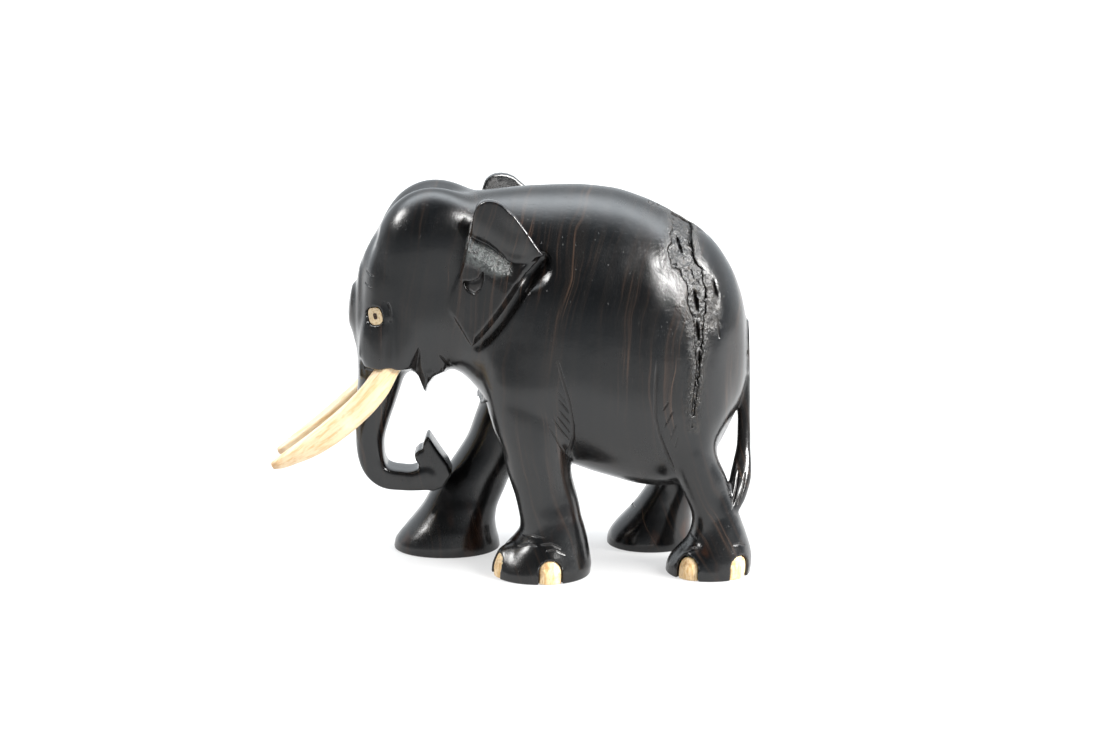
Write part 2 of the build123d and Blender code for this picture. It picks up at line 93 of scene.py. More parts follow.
# ------------------------------------------------------------------ small numeric tools
def A(t):
    return np.array(t, float)


def sstep(a, b, x):
    t = np.clip((x - a) / (b - a), 0, 1)
    return t * t * (3 - 2 * t)


def pchip(xk, yk, x):
    xk = np.asarray(xk, float); yk = np.asarray(yk, float); h = np.diff(xk); dl = np.diff(yk) / h
    m = np.zeros(len(xk))
    for i in range(1, len(xk) - 1):
        if dl[i - 1] * dl[i] > 0:
            w1 = 2 * h[i] + h[i - 1]; w2 = h[i] + 2 * h[i - 1]
            m[i] = (w1 + w2) / (w1 / dl[i - 1] + w2 / dl[i])
    m[0] = dl[0]; m[-1] = dl[-1]
    x = np.clip(x, xk[0], xk[-1]); i = np.clip(np.searchsorted(xk, x, side='right') - 1, 0, len(xk) - 2)
    t = (x - xk[i]) / h[i]; t2 = t * t; t3 = t2 * t
    return (2 * t3 - 3 * t2 + 1) * yk[i] + (t3 - 2 * t2 + t) * h[i] * m[i] + (-2 * t3 + 3 * t2) * yk[i + 1] + (t3 - t2) * h[i] * m[i + 1]


def cubic(xk, yk, x):
    xk = np.asarray(xk, float); yk = np.asarray(yk, float); n = len(xk); h = np.diff(xk)
    M = np.zeros((n, n)); b = np.zeros(n); M[0, 0] = M[-1, -1] = 1
    for i in range(1, n - 1):
        M[i, i - 1] = h[i - 1]; M[i, i] = 2 * (h[i - 1] + h[i]); M[i, i + 1] = h[i]
        b[i] = 6 * ((yk[i + 1] - yk[i]) / h[i] - (yk[i] - yk[i - 1]) / h[i - 1])
    c = np.linalg.solve(M, b)
    x = np.clip(x, xk[0], xk[-1]); i = np.clip(np.searchsorted(xk, x, side='right') - 1, 0, n - 2)
    t = x - xk[i]; u = xk[i + 1] - x
    return (c[i] * u**3 + c[i + 1] * t**3) / (6 * h[i]) + (yk[i] / h[i] - c[i] * h[i] / 6) * u + (yk[i + 1] / h[i] - c[i + 1] * h[i] / 6) * t


def dense(T, n=200):
    T = A(T); s = np.r_[0, np.cumsum(np.hypot(np.diff(T[:, 0]), np.diff(T[:, 1])))]
    q = np.linspace(0, s[-1], n)
    return np.stack([cubic(s, T[:, j], q) if j < 2 else pchip(s, T[:, j], q) for j in range(T.shape[1])], 1)


def smin(a, b, k):
    if np.isscalar(k) and k <= 1e-6:
        return np.minimum(a, b)
    h = np.clip(k - np.abs(a - b), 0, None) / k
    return np.minimum(a, b) - h * h * k * 0.25


_lat = {}


def noise(x, y, z, scale, seed=0):
    """smooth value noise, -1 to 1"""
    if seed not in _lat:
        _lat[seed] = np.random.RandomState(1000 + seed).rand(48, 48, 48).astype(np.float32) * 2 - 1
    L = _lat[seed]
    p = [np.asarray(v, np.float32) / scale + 97.3 for v in (x, y, z)]
    i = [np.floor(v).astype(int) for v in p]; f = [v - j for v, j in zip(p, i)]; f = [t * t * (3 - 2 * t) for t in f]
    out = 0
    for a in (0, 1):
        for b in (0, 1):
            for c in (0, 1):
                w = (f[0] if a else 1 - f[0]) * (f[1] if b else 1 - f[1]) * (f[2] if c else 1 - f[2])
                out = out + w * L[(i[0] + a) % 48, (i[1] + b) % 48, (i[2] + c) % 48]
    return out


def polysd(P, Y, Z):
    """signed distance to a closed outline, negative inside"""
    P = A(P); n = len(P); d = np.full(Y.shape, 1e18); ins = np.zeros(Y.shape, bool)
    for i in range(n):
        a = P[i]; b = P[(i + 1) % n]; e = b - a; wy = Y - a[0]; wz = Z - a[1]
        t = np.clip((wy * e[0] + wz * e[1]) / (e @ e), 0, 1)
        d = np.minimum(d, (wy - t * e[0])**2 + (wz - t * e[1])**2)
        c = ((a[1] <= Z) & (b[1] > Z)) | ((b[1] <= Z) & (a[1] > Z))
        xx = a[0] + (Z - a[1]) / (e[1] if e[1] != 0 else 1e-12) * e[0]
        ins ^= (c & (Y < xx))
    d = np.sqrt(d)
    return np.where(ins, -d, d)


def polyline(P, Y, Z):
    """distance to an open line and how far along it (0 to 1)"""
    P = A(P); best = np.full(Y.shape, 1e9); idx = np.zeros(Y.shape)
    for i in range(len(P) - 1):
        a = P[i, :2]; e = P[i + 1, :2] - a
        t = np.clip(((Y - a[0]) * e[0] + (Z - a[1]) * e[1]) / (e @ e), 0, 1)
        d = np.hypot(Y - a[0] - t * e[0], Z - a[1] - t * e[1]); m = d < best
        best = np.where(m, d, best); idx = np.where(m, i + t, idx)
    return best, idx / (len(P) - 1)


class Field:
    """a block of signed distances, negative inside the wood"""

    def __init__(s, lo, hi, h):
        s.h = h; s.lo = np.array(lo, float)
        n = [int(np.ceil((hi[i] - lo[i]) / h)) + 1 for i in range(3)]
        s.ax = [(lo[i] + h * np.arange(n[i])) for i in range(3)]
        s.F = np.full(n, 30.0, np.float32)

    def sub(s, lo, hi):
        sl = tuple(slice(max(0, int(np.floor((lo[i] - s.lo[i]) / s.h))), max(1, min(len(s.ax[i]), int(np.ceil((hi[i] - s.lo[i]) / s.h)) + 1))) for i in range(3))
        return (sl, s.ax[0][sl[0]].astype(np.float32)[:, None, None], s.ax[1][sl[1]].astype(np.float32)[None, :, None],
                s.ax[2][sl[2]].astype(np.float32)[None, None, :])

    def unite(s, sl, G, k):
        s.F[sl] = smin(s.F[sl], G.astype(np.float32), k)

    def cut(s, sl, G, k):
        s.F[sl] = -smin(-s.F[sl], G.astype(np.float32), k)

    def at(s, p):
        """value at points, trilinear"""
        q = (p - s.lo) / s.h; n = s.F.shape
        i = np.clip(np.floor(q).astype(int), 0, np.array(n) - 2); f = q - i; out = 0
        for a in (0, 1):
            for b in (0, 1):
                for c in (0, 1):
                    w = (f[:, 0] if a else 1 - f[:, 0]) * (f[:, 1] if b else 1 - f[:, 1]) * (f[:, 2] if c else 1 - f[:, 2])
                    out = out + w * s.F[i[:, 0] + a, i[:, 1] + b, i[:, 2] + c]
        return out

    def grad(s, p, e=None):
        e = e or s.h
        g = np.stack([s.at(p + np.eye(3)[i] * e) - s.at(p - np.eye(3)[i] * e) for i in range(3)], 1)
        return g / (2 * e)


def norm(F, h):
    g = np.gradient(F, h)
    return F / np.maximum(np.sqrt(g[0]**2 + g[1]**2 + g[2]**2), 0.02)


def nearest(Q, Y, Z):
    best = np.full(Y.shape, 1e18); idx = np.zeros(Y.shape)
    for i in range(len(Q) - 1):
        a = Q[i, :2]; e = Q[i + 1, :2] - a; wy = Y - a[0]; wz = Z - a[1]
        t = np.clip((wy * e[0] + wz * e[1]) / (e @ e), 0, 1); d = (wy - t * e[0])**2 + (wz - t * e[1])**2
        m = d < best; best = np.where(m, d, best); idx = np.where(m, i + t, idx)
    return np.sqrt(best), idx


def tube(f, T, pad, n=120):
    """limb along a y-z path: columns y, z, thickness, half width, centre x, squareness"""
    T = A(T); Q = dense(T, n); r = max(T[:, 2].max(), T[:, 3].max()) + pad
    lo = [(T[:, 4] - T[:, 3]).min() - pad, T[:, 0].min() - r, T[:, 1].min() - r]
    hi = [(T[:, 4] + T[:, 3]).max() + pad, T[:, 0].max() + r, T[:, 1].max() + r]
    sl, x, y, z = f.sub(lo, hi); Y, Z = np.meshgrid(y[0, :, 0], z[0, 0, :], indexing='ij')
    d, idx = nearest(Q, Y, Z); k = np.arange(len(Q))
    g = lambda j: np.interp(idx, k, Q[:, j])[None].astype(np.float32)
    a = d[None].astype(np.float32) / g(2); b = np.abs((x - g(4)) / g(3)); m = g(5)
    return sl, norm((a**m + b**m)**(1 / m) - 1, f.h)


def leg(f, T, n, pad=15):
    """foot to shoulder: rings square to z"""
    T = A(T); lo = [(T[:, 3] - T[:, 4]).min() - pad, (T[:, 1] - T[:, 2]).min() - pad, -3]
    hi = [(T[:, 3] + T[:, 4]).max() + pad, (T[:, 1] + T[:, 2]).max() + pad, T[-1, 0] + 8]
    sl, x, y, z = f.sub(lo, hi); zz = z[0, 0, :].astype(float)
    g = lambda j: pchip(T[:, 0], T[:, j], zz)[None, None, :].astype(np.float32)
    d = norm((np.abs((x - g(3)) / g(4))**n + np.abs((y - g(1)) / g(2))**n)**(1 / n) - 1, f.h)
    top = np.broadcast_to(z - np.float32(T[-1, 0] - 10), d.shape)
    return sl, -smin(-d, -top, 8), x, y, z


def barrel(f, T, pad=8):
    """body and head: egg-shaped rings square to y"""
    T = A(T); lo = [-T[:, 3].max() - pad, T[0, 0] - pad, T[:, 2].min() - pad]; hi = [T[:, 3].max() + pad, T[-1, 0] + pad, T[:, 1].max() + pad]
    sl, x, y, z = f.sub(lo, hi); yy = y[0, :, 0].astype(float); gp = lambda j: pchip(T[:, 0], T[:, j], yy)
    zt, zb, w, zc, nt, nb = [np.maximum(v, .1) for v in (gp(1), gp(2), gp(3), gp(4), gp(5), gp(6))]
    w = np.maximum(w, .6); ht = np.maximum(zt - zc, .6); hb = np.maximum(zc - zb, .6)
    R = lambda a: a[None, :, None].astype(np.float32)
    up = z > R(zc); h = np.where(up, R(ht), R(hb)); n = np.where(up, R(nt), R(nb))
    d = norm(((np.abs(x) / R(w))**n + (np.abs(z - R(zc)) / h)**n)**(1 / n) - 1, f.h)
    win = lambda v, fn: np.array([fn(v[np.abs(yy - q) <= 6]) for q in yy])
    L = np.minimum(6, np.maximum(np.maximum(R(win(zb, np.min)) - z, z - R(win(zt, np.max))), np.abs(x) - R(win(w, np.max))))
    d = np.where(L > 0, np.maximum(d, L), d)
    return sl, np.maximum(d, np.maximum(T[0, 0] - 0.5 - y, y - (T[-1, 0] + 0.5)))


def egg(f, c, r, pad=8, tilt=0.0):
    """ellipsoid; tilt turns it about x, degrees"""
    r = A(r); c = A(c); m = r.max() + pad; sl, x, y, z = f.sub(c - m, c + m); p = [x - c[0], y - c[1], z - c[2]]
    if tilt:
        a = math.radians(tilt); p = [p[0], p[1] * math.cos(a) + p[2] * math.sin(a), -p[1] * math.sin(a) + p[2] * math.cos(a)]
    F = np.sqrt((p[0] / r[0])**2 + (p[1] / r[1])**2 + (p[2] / r[2])**2)
    g = np.sqrt((p[0] / r[0]**2)**2 + (p[1] / r[1]**2)**2 + (p[2] / r[2]**2)**2)
    return sl, F * (F - 1) / np.maximum(g, 1e-4)


def prism(f, poly, x0, x1, pad=4, r=0.5):
    """outline in y-z, from x0 to x1, edges rounded by r"""
    poly = A(poly); x0, x1 = min(x0, x1), max(x0, x1)
    sl, x, y, z = f.sub([x0 - pad, poly[:, 0].min() - pad, poly[:, 1].min() - pad], [x1 + pad, poly[:, 0].max() + pad, poly[:, 1].max() + pad])
    Y, Z = np.meshgrid(y[0, :, 0], z[0, 0, :], indexing='ij'); d2 = polysd(poly, Y, Z)[None].astype(np.float32)
    dx = np.abs(x - (x0 + x1) / 2) - (x1 - x0) / 2; a = np.maximum(d2 + r, 0); b = np.maximum(dx + r, 0)
    return sl, np.sqrt(a * a + b * b) + np.minimum(np.maximum(d2 + r, dx + r), 0) - r


def surface_nets(F, lo, h):
    s = F < 0; nx, ny, nz = F.shape
    c = np.zeros((nx - 1, ny - 1, nz - 1), np.uint8)
    for i in (0, 1):
        for j in (0, 1):
            for k in (0, 1):
                c += s[i:nx - 1 + i, j:ny - 1 + j, k:nz - 1 + k]
    act = (c > 0) & (c < 8); I, J, K = np.nonzero(act); n = len(I)
    acc = np.zeros((n, 3)); cnt = np.zeros(n)
    corner = [(i, j, k) for i in (0, 1) for j in (0, 1) for k in (0, 1)]
    V = {q: F[I + q[0], J + q[1], K + q[2]].astype(float) for q in corner}
    for a in corner:
        for ax in range(3):
            if a[ax] == 0:
                b = list(a); b[ax] = 1; b = tuple(b); va, vb = V[a], V[b]; m = (va < 0) != (vb < 0)
                t = np.where(m, va / np.where(va == vb, 1, va - vb), 0)
                p = np.tile(A(a), (n, 1)); p[:, ax] += t
                acc += np.where(m[:, None], p, 0); cnt += m
    vert = (np.stack([I, J, K], 1) + acc / cnt[:, None]) * h + np.asarray(lo)
    ind = np.full(act.shape, -1, np.int64); ind[I, J, K] = np.arange(n); quads = []
    for ax in range(3):
        u, v = [(1, 2), (2, 0), (0, 1)][ax]
        a, b = [slice(None)] * 3, [slice(None)] * 3; a[ax] = slice(0, -1); b[ax] = slice(1, None)
        for q in (u, v):
            a[q] = slice(1, -1); b[q] = slice(1, -1)
        sa, sb = s[tuple(a)], s[tuple(b)]; ch = sa != sb; P = np.argwhere(ch)
        if not len(P):
            continue
        P[:, u] += 1; P[:, v] += 1

        def at(du, dv):
            Q = P.copy(); Q[:, u] -= du; Q[:, v] -= dv
            return ind[Q[:, 0], Q[:, 1], Q[:, 2]]
        q = np.stack([at(1, 1), at(0, 1), at(0, 0), at(1, 0)], 1)
        ins = sa[ch]; quads.append(np.where(ins[:, None], q, q[:, ::-1]))
    return vert, np.concatenate(quads)


def mm(v):
    """layout millimetres to row-frame metres"""
    v = np.asarray(v, float).copy(); v[..., 1] += SHIFT
    return v / 1000.0


def make(name, verts, faces, mat, smooth=True):
    me = bpy.data.meshes.new(name); n = faces.shape[1]
    me.vertices.add(len(verts)); me.vertices.foreach_set("co", mm(verts).astype(np.float32).ravel())
    me.loops.add(faces.size); me.loops.foreach_set("vertex_index", faces.astype(np.int32).ravel())
    me.polygons.add(len(faces)); me.polygons.foreach_set("loop_start", np.arange(0, faces.size, n, dtype=np.int32))
    me.update(calc_edges=True); me.validate()
    if smooth:
        me.polygons.foreach_set("use_smooth", np.ones(len(me.polygons), bool))
    o = bpy.data.objects.new(name, me); bpy.context.scene.collection.objects.link(o)
    me.materials.append(mat)
    return o
# ------------------------------------------------------------------ the wood
def ear_outer(Y, Z):
    """how far the ear's outer face stands from the middle plane at (y, z)"""
    c = A(CREASE); zc = np.interp(Y, c[:, 0], c[:, 1]); s = Z - zc
    lean = 18.9 + 7.1 * np.clip((Y + 29.0) / 24.0, 0, 1.05)**0.85
    # upper leaf: a shallow dish, deepest just above the crease; lower leaf: a bevel climbs out of the crease, then it swells
    up = -3.2 * np.exp(-np.clip(s, 0, None) / 3.8) - 1.0 * np.exp(-((Y + 9.5) / 6.0)**2) * sstep(0, 3, s) * (1 - sstep(8, 15, s))
    lo = -3.2 * (1 - np.clip(-s / 5.0, 0, 1))**1.15
    turn = -1.5 * sstep(-19.0, -28.5, Y - (Z - 80) * 0.12) * sstep(3, 9, -s)
    f = np.where(s > 0, up, lo + turn)
    w = 0.9 * np.exp(-((Y + 14) / 7)**2) * sstep(4, 10, -s)
    return lean + f * (0.35 + 0.65 * sstep(-2.0, -9.0, Y)) + w


def ear_field(f, s, lag):
    lo = [min(s * 8, s * 30), -33 + lag, 62]; hi = [max(s * 8, s * 30), 3 + lag, 113]
    sl, x, y, z = f.sub(lo, hi); Y, Z = np.meshgrid(y[0, :, 0] - lag, z[0, 0, :], indexing='ij')
    if lag:
        Z = Z - 1.4 * sstep(90, 106, Z); Y = -18 + (Y + 18) / 1.12
    d2 = polysd(EAR, Y, Z)[None].astype(np.float32); ax = x * s; out = ear_outer(Y, Z)[None].astype(np.float32)
    thick = (3.4 + 1.8 * sstep(-12, -26, Y))[None].astype(np.float32)
    do = (ax - out) * 0.85; di = (out - thick - ax) * 0.85; r = 0.55
    m = np.maximum(do, di); a = np.maximum(d2 + r, 0); b = np.maximum(m + r, 0)
    g = np.sqrt(a * a + b * b) + np.minimum(np.maximum(d2 + r, m + r), 0) - r
    # a chamfer runs along the rear lower edge, from the tip at the back down to the point
    low = (sstep(96.5, 93.5, Z) * sstep(-23.0, -21.0, Y + (Z - 68) * 0.0))[None].astype(np.float32)
    ch = (d2 + 1.5) * 0.72 + do * 0.69
    g = np.where(low > 0, np.maximum(g, ch - 30 * (1 - low)), g)
    return sl, g


def support(row, s, ang):
    """point of a foot ring furthest out along a heading, and the heading"""
    yc, ry, xc, rx = row[1], row[2], row[3], row[4]; a = math.radians(ang); d = (s * math.sin(a), -math.cos(a))
    den = math.hypot(rx * d[0], ry * d[1])
    return (xc + rx * rx * d[0] / den, yc + ry * ry * d[1] / den), d


def skin(f, y, z, s, x0=30.0, x1=3.0):
    """x of the outermost surface at (y, z) on side s"""
    xs = np.linspace(x0, x1, 220); v = f.at(np.stack([s * xs, np.full(220, y), np.full(220, z)], 1))
    i = np.argmax(v < 0)
    return s * xs[i] if v[i] < 0 else s * x1


def vcut(f, a, l, r, b, s, k=0.35, pad=3):
    """a V-shaped knife cut: mouth a-l and a-r on the surface, deepest along a-b"""
    P = [A(p) * (s, 1, 1) for p in (a, l, r, b)]; lo = np.min(P, 0) - pad; hi = np.max(P, 0) + pad
    sl, x, y, z = f.sub(lo, hi); out = []
    for p, other in ((P[1], P[2]), (P[2], P[1])):
        n = np.cross(p - P[0], P[3] - P[0]); n /= np.linalg.norm(n)
        if (other - P[0]) @ n > 0:
            n = -n
        out.append((x - P[0][0]) * n[0] + (y - P[0][1]) * n[1] + (z - P[0][2]) * n[2])
    g = np.maximum(out[0], out[1]); g = np.maximum(g, (s * (P[3][0]) - s * x) - 0.0)
    f.cut(sl, g, k)


def arch(w, h, n=14):
    r = w * 1.05
    return [(-w, -1.5), (-w, h - r)] + [(w * math.cos(math.pi * (1 - i / n)), h - r + r * math.sin(math.pi * (1 - i / n))) for i in range(1, n)] + [(w, h - r), (w, -1.5)]


def nail_frame(leg, s, ang):
    (px, py), d = support(LEGS[leg][1], s, ang)
    return np.array([px, py, 0.0]), np.array([d[0], d[1], 0.0]), np.array([-d[1], d[0], 0.0])


def nail_local(f, leg, s, ang, pad=9):
    """block of the field about a nail, with its across and outward distances"""
    p, d, u = nail_frame(leg, s, ang); sl, x, y, z = f.sub(p - (pad, pad, 3), p + (pad, pad, 14))
    X = x - p[0]; Y = y - p[1]
    return sl, X * u[0] + Y * u[1], X * d[0] + Y * d[1], z


CRACK_L = [(34.2, 112), (34.3, 104), (34.37, 102.3), (34.45, 99.7), (34.0, 98.0), (32.9, 94.4), (33.4, 90.0), (36.0, 88.6), (37.8, 86.0), (38.2, 82.6), (37.8, 80.6),
           (38.6, 78.9), (39.6, 76.0), (40.0, 72.2), (40.3, 68.8), (40.7, 65.3), (40.45, 60.9), (40.1, 56.3), (39.75, 51.2), (39.5, 45.0)]
CRACK_R = [(39.95, 45.0), (40.75, 51.2), (41.3, 56.2), (41.85, 60.8), (42.3, 65.2), (42.7, 70.3), (42.95, 75.5), (43.3, 78.9), (43.5, 82.8), (43.2, 86.0), (42.0, 89.4),
           (40.7, 92.1), (40.3, 96.6), (40.8, 99.0), (42.2, 104), (43.2, 112)]
SLOTS = [([(35.6, 97.6), (36.3, 95.1), (37.2, 92.5)], 0.75, 2.6), ([(40.1, 83.8), (40.75, 80.7), (41.3, 77.4)], 0.8, 2.8),
         ([(40.86, 75.4), (41.28, 72.1), (41.55, 69.0)], 0.65, 2.6), ([(41.7, 67.2), (41.65, 63.0)], 0.5, 2.2), ([(41.4, 61.2), (41.0, 58.6)], 0.35, 1.6),
         ([(45.8, 85.6), (46.6, 81.9), (47.0, 79.9)], 0.55, 1.9), ([(38.1, 91.2), (39.6, 88.2), (40.3, 86.0)], 0.4, 1.6)]
PATCH = [(42.9, 87.0), (45.3, 86.4), (46.6, 83.8), (47.7, 81.0), (47.8, 76.5), (46.9, 72.6), (45.3, 71.6), (43.4, 74.5)]


def chan(x, y, z):
    """signed distance to the crack's broken outline, negative inside; x is positive on the near side"""
    Y, Z = y + 0 * z, z + 0 * y
    d = polysd(CRACK_L + CRACK_R, Y, Z)
    d = d + 0.60 * noise(x, Y, Z, 1.9, 1) * sstep(50, 75, Z) + 0.38 * noise(x, Y, Z, 0.8, 2) + 0.12
    return np.maximum(d, -4.2 - x + 1.2 * noise(x, Y, Z, 2.1, 3))


def slots(f, sl, x, y, z, base):
    """the open slots that the filler never closed, as V grooves square to the surface"""
    out = np.full(np.broadcast(x, y, z).shape, 9.0, np.float32); Y, Z = np.meshgrid(y.ravel(), z.ravel(), indexing='ij')
    for pts, w, dep in SLOTS:
        d, t = polyline(pts, Y, Z); half = w * np.sqrt(np.clip(4 * t * (1 - t), 0.02, 1)) + 0.16 * noise(0 * Y, Y, Z, 0.9, 5)
        d = (d - half)[None].astype(np.float32)
        g = np.maximum(d + 0.32 * np.maximum(-base, 0), -(base + dep)); g = np.where(x > 2, g, 9)
        out = np.minimum(out, g)
    return out


def wood_field(h):
    f = Field((-31.5, -61, -2.4), (31.5, 60.5, 113), h)
    sl, d = barrel(f, A(BARREL)); f.unite(sl, d, 0)
    for s in (1, -1):
        sl, d = egg(f, (s * 8.4, -33.2, 96.4), (9.6, 14.0, 14.0)); f.unite(sl, d, 5)
    sl, d = egg(f, (0, -46.5, 75.0), (10.6, 10.9, 13.5)); f.unite(sl, d, 4.0)      # root of the trunk, one smooth ridge up to the brow
    for s in (1, -1):                      # valleys between the trunk's root and the temples
        T = [(-51.9, 97, 1.3, 1.3, s * 7.8, 2), (-55.4, 91, 1.9, 1.9, s * 9.4, 2), (-57.2, 84, 2.6, 2.5, s * 10.6, 2), (-57.8, 76, 2.8, 2.6, s * 11.5, 2), (-57.6, 68, 2.2, 2.2, s * 12.3, 2)]
        sl, d = tube(f, T, 5); f.cut(sl, d, 4.5)
    for k, n in (("front_left", 2.15), ("rear_left", 2.1), ("front_right", 2.1), ("rear_right", 2.1)):
        sl, d, x, y, z = leg(f, LEGS[k], n)
        kk = (2.2 + 6.5 * sstep(46, 58, z)) if k.startswith("front") else (3.0 + 6.0 * sstep(36, 50, z))
        f.F[sl] = smin(f.F[sl], d.astype(np.float32), np.broadcast_to(kk.astype(np.float32), d.shape))
    for lg, s, ang, tag in NAILS:          # toes swell over each nail on the near feet
        if s > 0:
            (px, py), dv = support(LEGS[lg][1], s, ang)
            sl, d = egg(f, (px - dv[0] * 3.6, py - dv[1] * 3.6, 3.6), (3.7, 3.5, 4.8), pad=5); f.unite(sl, d, 3.0)
    sl, d = tube(f, TRUNK, 6); f.unite(sl, d, 4)
    sl, d = prism(f, FINGERS, -5.0, 5.0, r=1.0); f.unite(sl, d, 1.2)
    sl, x, y, z = f.sub((-16, -45, 44), (16, -24, 70)); zz = z - 0.22 * np.abs(x)   # lip, its edge rising outwards
    d2 = polysd(LIP, y + 0 * zz, zz + 0 * y); a = np.maximum(d2 + 1.4, 0); b = np.maximum(np.abs(x) - 12.4 + 1.4, 0) + 0 * d2
    f.unite(sl, np.sqrt(a * a + b * b) + np.minimum(np.maximum(d2 + 1.4, np.abs(x) - 11.0), 0) - 1.4, 2.5)
    for s in (1, -1):                      # cheeks over the tusk roots, cut flat underneath
        c = A((s * 11.2, -45.2, 66.0)); sl, x, y, z = f.sub(c - 18, c + 18)
        g = egg(f, c, (6.3, 8.6, 12.5), pad=5.5)[1]; g = -smin(-g, (z - 59.5) * np.ones_like(g), 0.7); f.unite(sl, g, 2.6)
    for s in (1, -1):                      # flute between the trunk's root and the cheek
        T = [(-45.9, 73.0, 1.3, 1.2, s * (skin(f, -45.9, 73, 1) + 1.0), 2), (-45.6, 69, 1.6, 1.5, s * (skin(f, -45.6, 69, 1) + 0.9), 2),
             (-45.6, 64, 1.7, 1.6, s * (skin(f, -45.6, 64, 1) + 0.8), 2), (-45.7, 59, 1.7, 1.6, s * (skin(f, -45.7, 60.5, 1) + 0.8), 2)]
        sl, d = tube(f, T, 5); f.cut(sl, d, 1.6)
    for s in (1, -1):                      # the neck is hollowed behind each ear, so that the ear stands clear of it
        lag = 0.0 if s > 0 else 1.6
        sl, d = egg(f, (s * 26.0, -7.0 + lag, 94.5), (6.4, 9.6, 10.8)); f.cut(sl, d, 1.2)
        P = [(-2.4, 92.0, 2.1), (-5.5, 88.3, 2.0), (-8.9, 83.2, 1.9), (-12.1, 78.2, 1.8), (-16.8, 71.7, 1.6), (-20.6, 67.2, 0.9)]
        T = [(y + lag, z, r, r, s * (abs(skin(f, y + lag, z, s)) + 0.35), 2) for y, z, r in P]
        sl, d = tube(f, T, 5); f.cut(sl, d, 1.4)
    sl, d = tube(f, TAIL, 5); f.unite(sl, d, 0.9)
    for s, lag in ((1, 0.0), (-1, 1.6)):
        sl, d = ear_field(f, s, lag); f.unite(sl, d, 1.0)
    # hand-carved unevenness
    sl, x, y, z = f.sub((-31, -61, 1), (31, 60, 113)); fade = sstep(1, 7, z)
    f.F[sl] += fade * (0.10 * noise(x, y, z, 11.0, 11) + 0.035 * noise(x, y, z, 4.5, 12)).astype(np.float32)
    return f


def eye_ring(y, z, grow=0.0, w=None, h=None):
    """rounded-square outline of the eye, leaning a little forward"""
    w = (w or EYE_W) + grow; h = (h or EYE_H) + grow; a = math.radians(14)
    p = (y - EYE[0]) * math.cos(a) + (z - EYE[1]) * math.sin(a); q = -(y - EYE[0]) * math.sin(a) + (z - EYE[1]) * math.cos(a)
    return ((np.abs(p / w)**2.9 + np.abs(q / h)**2.9)**(1 / 2.9) - 1) * (w + h) / 2


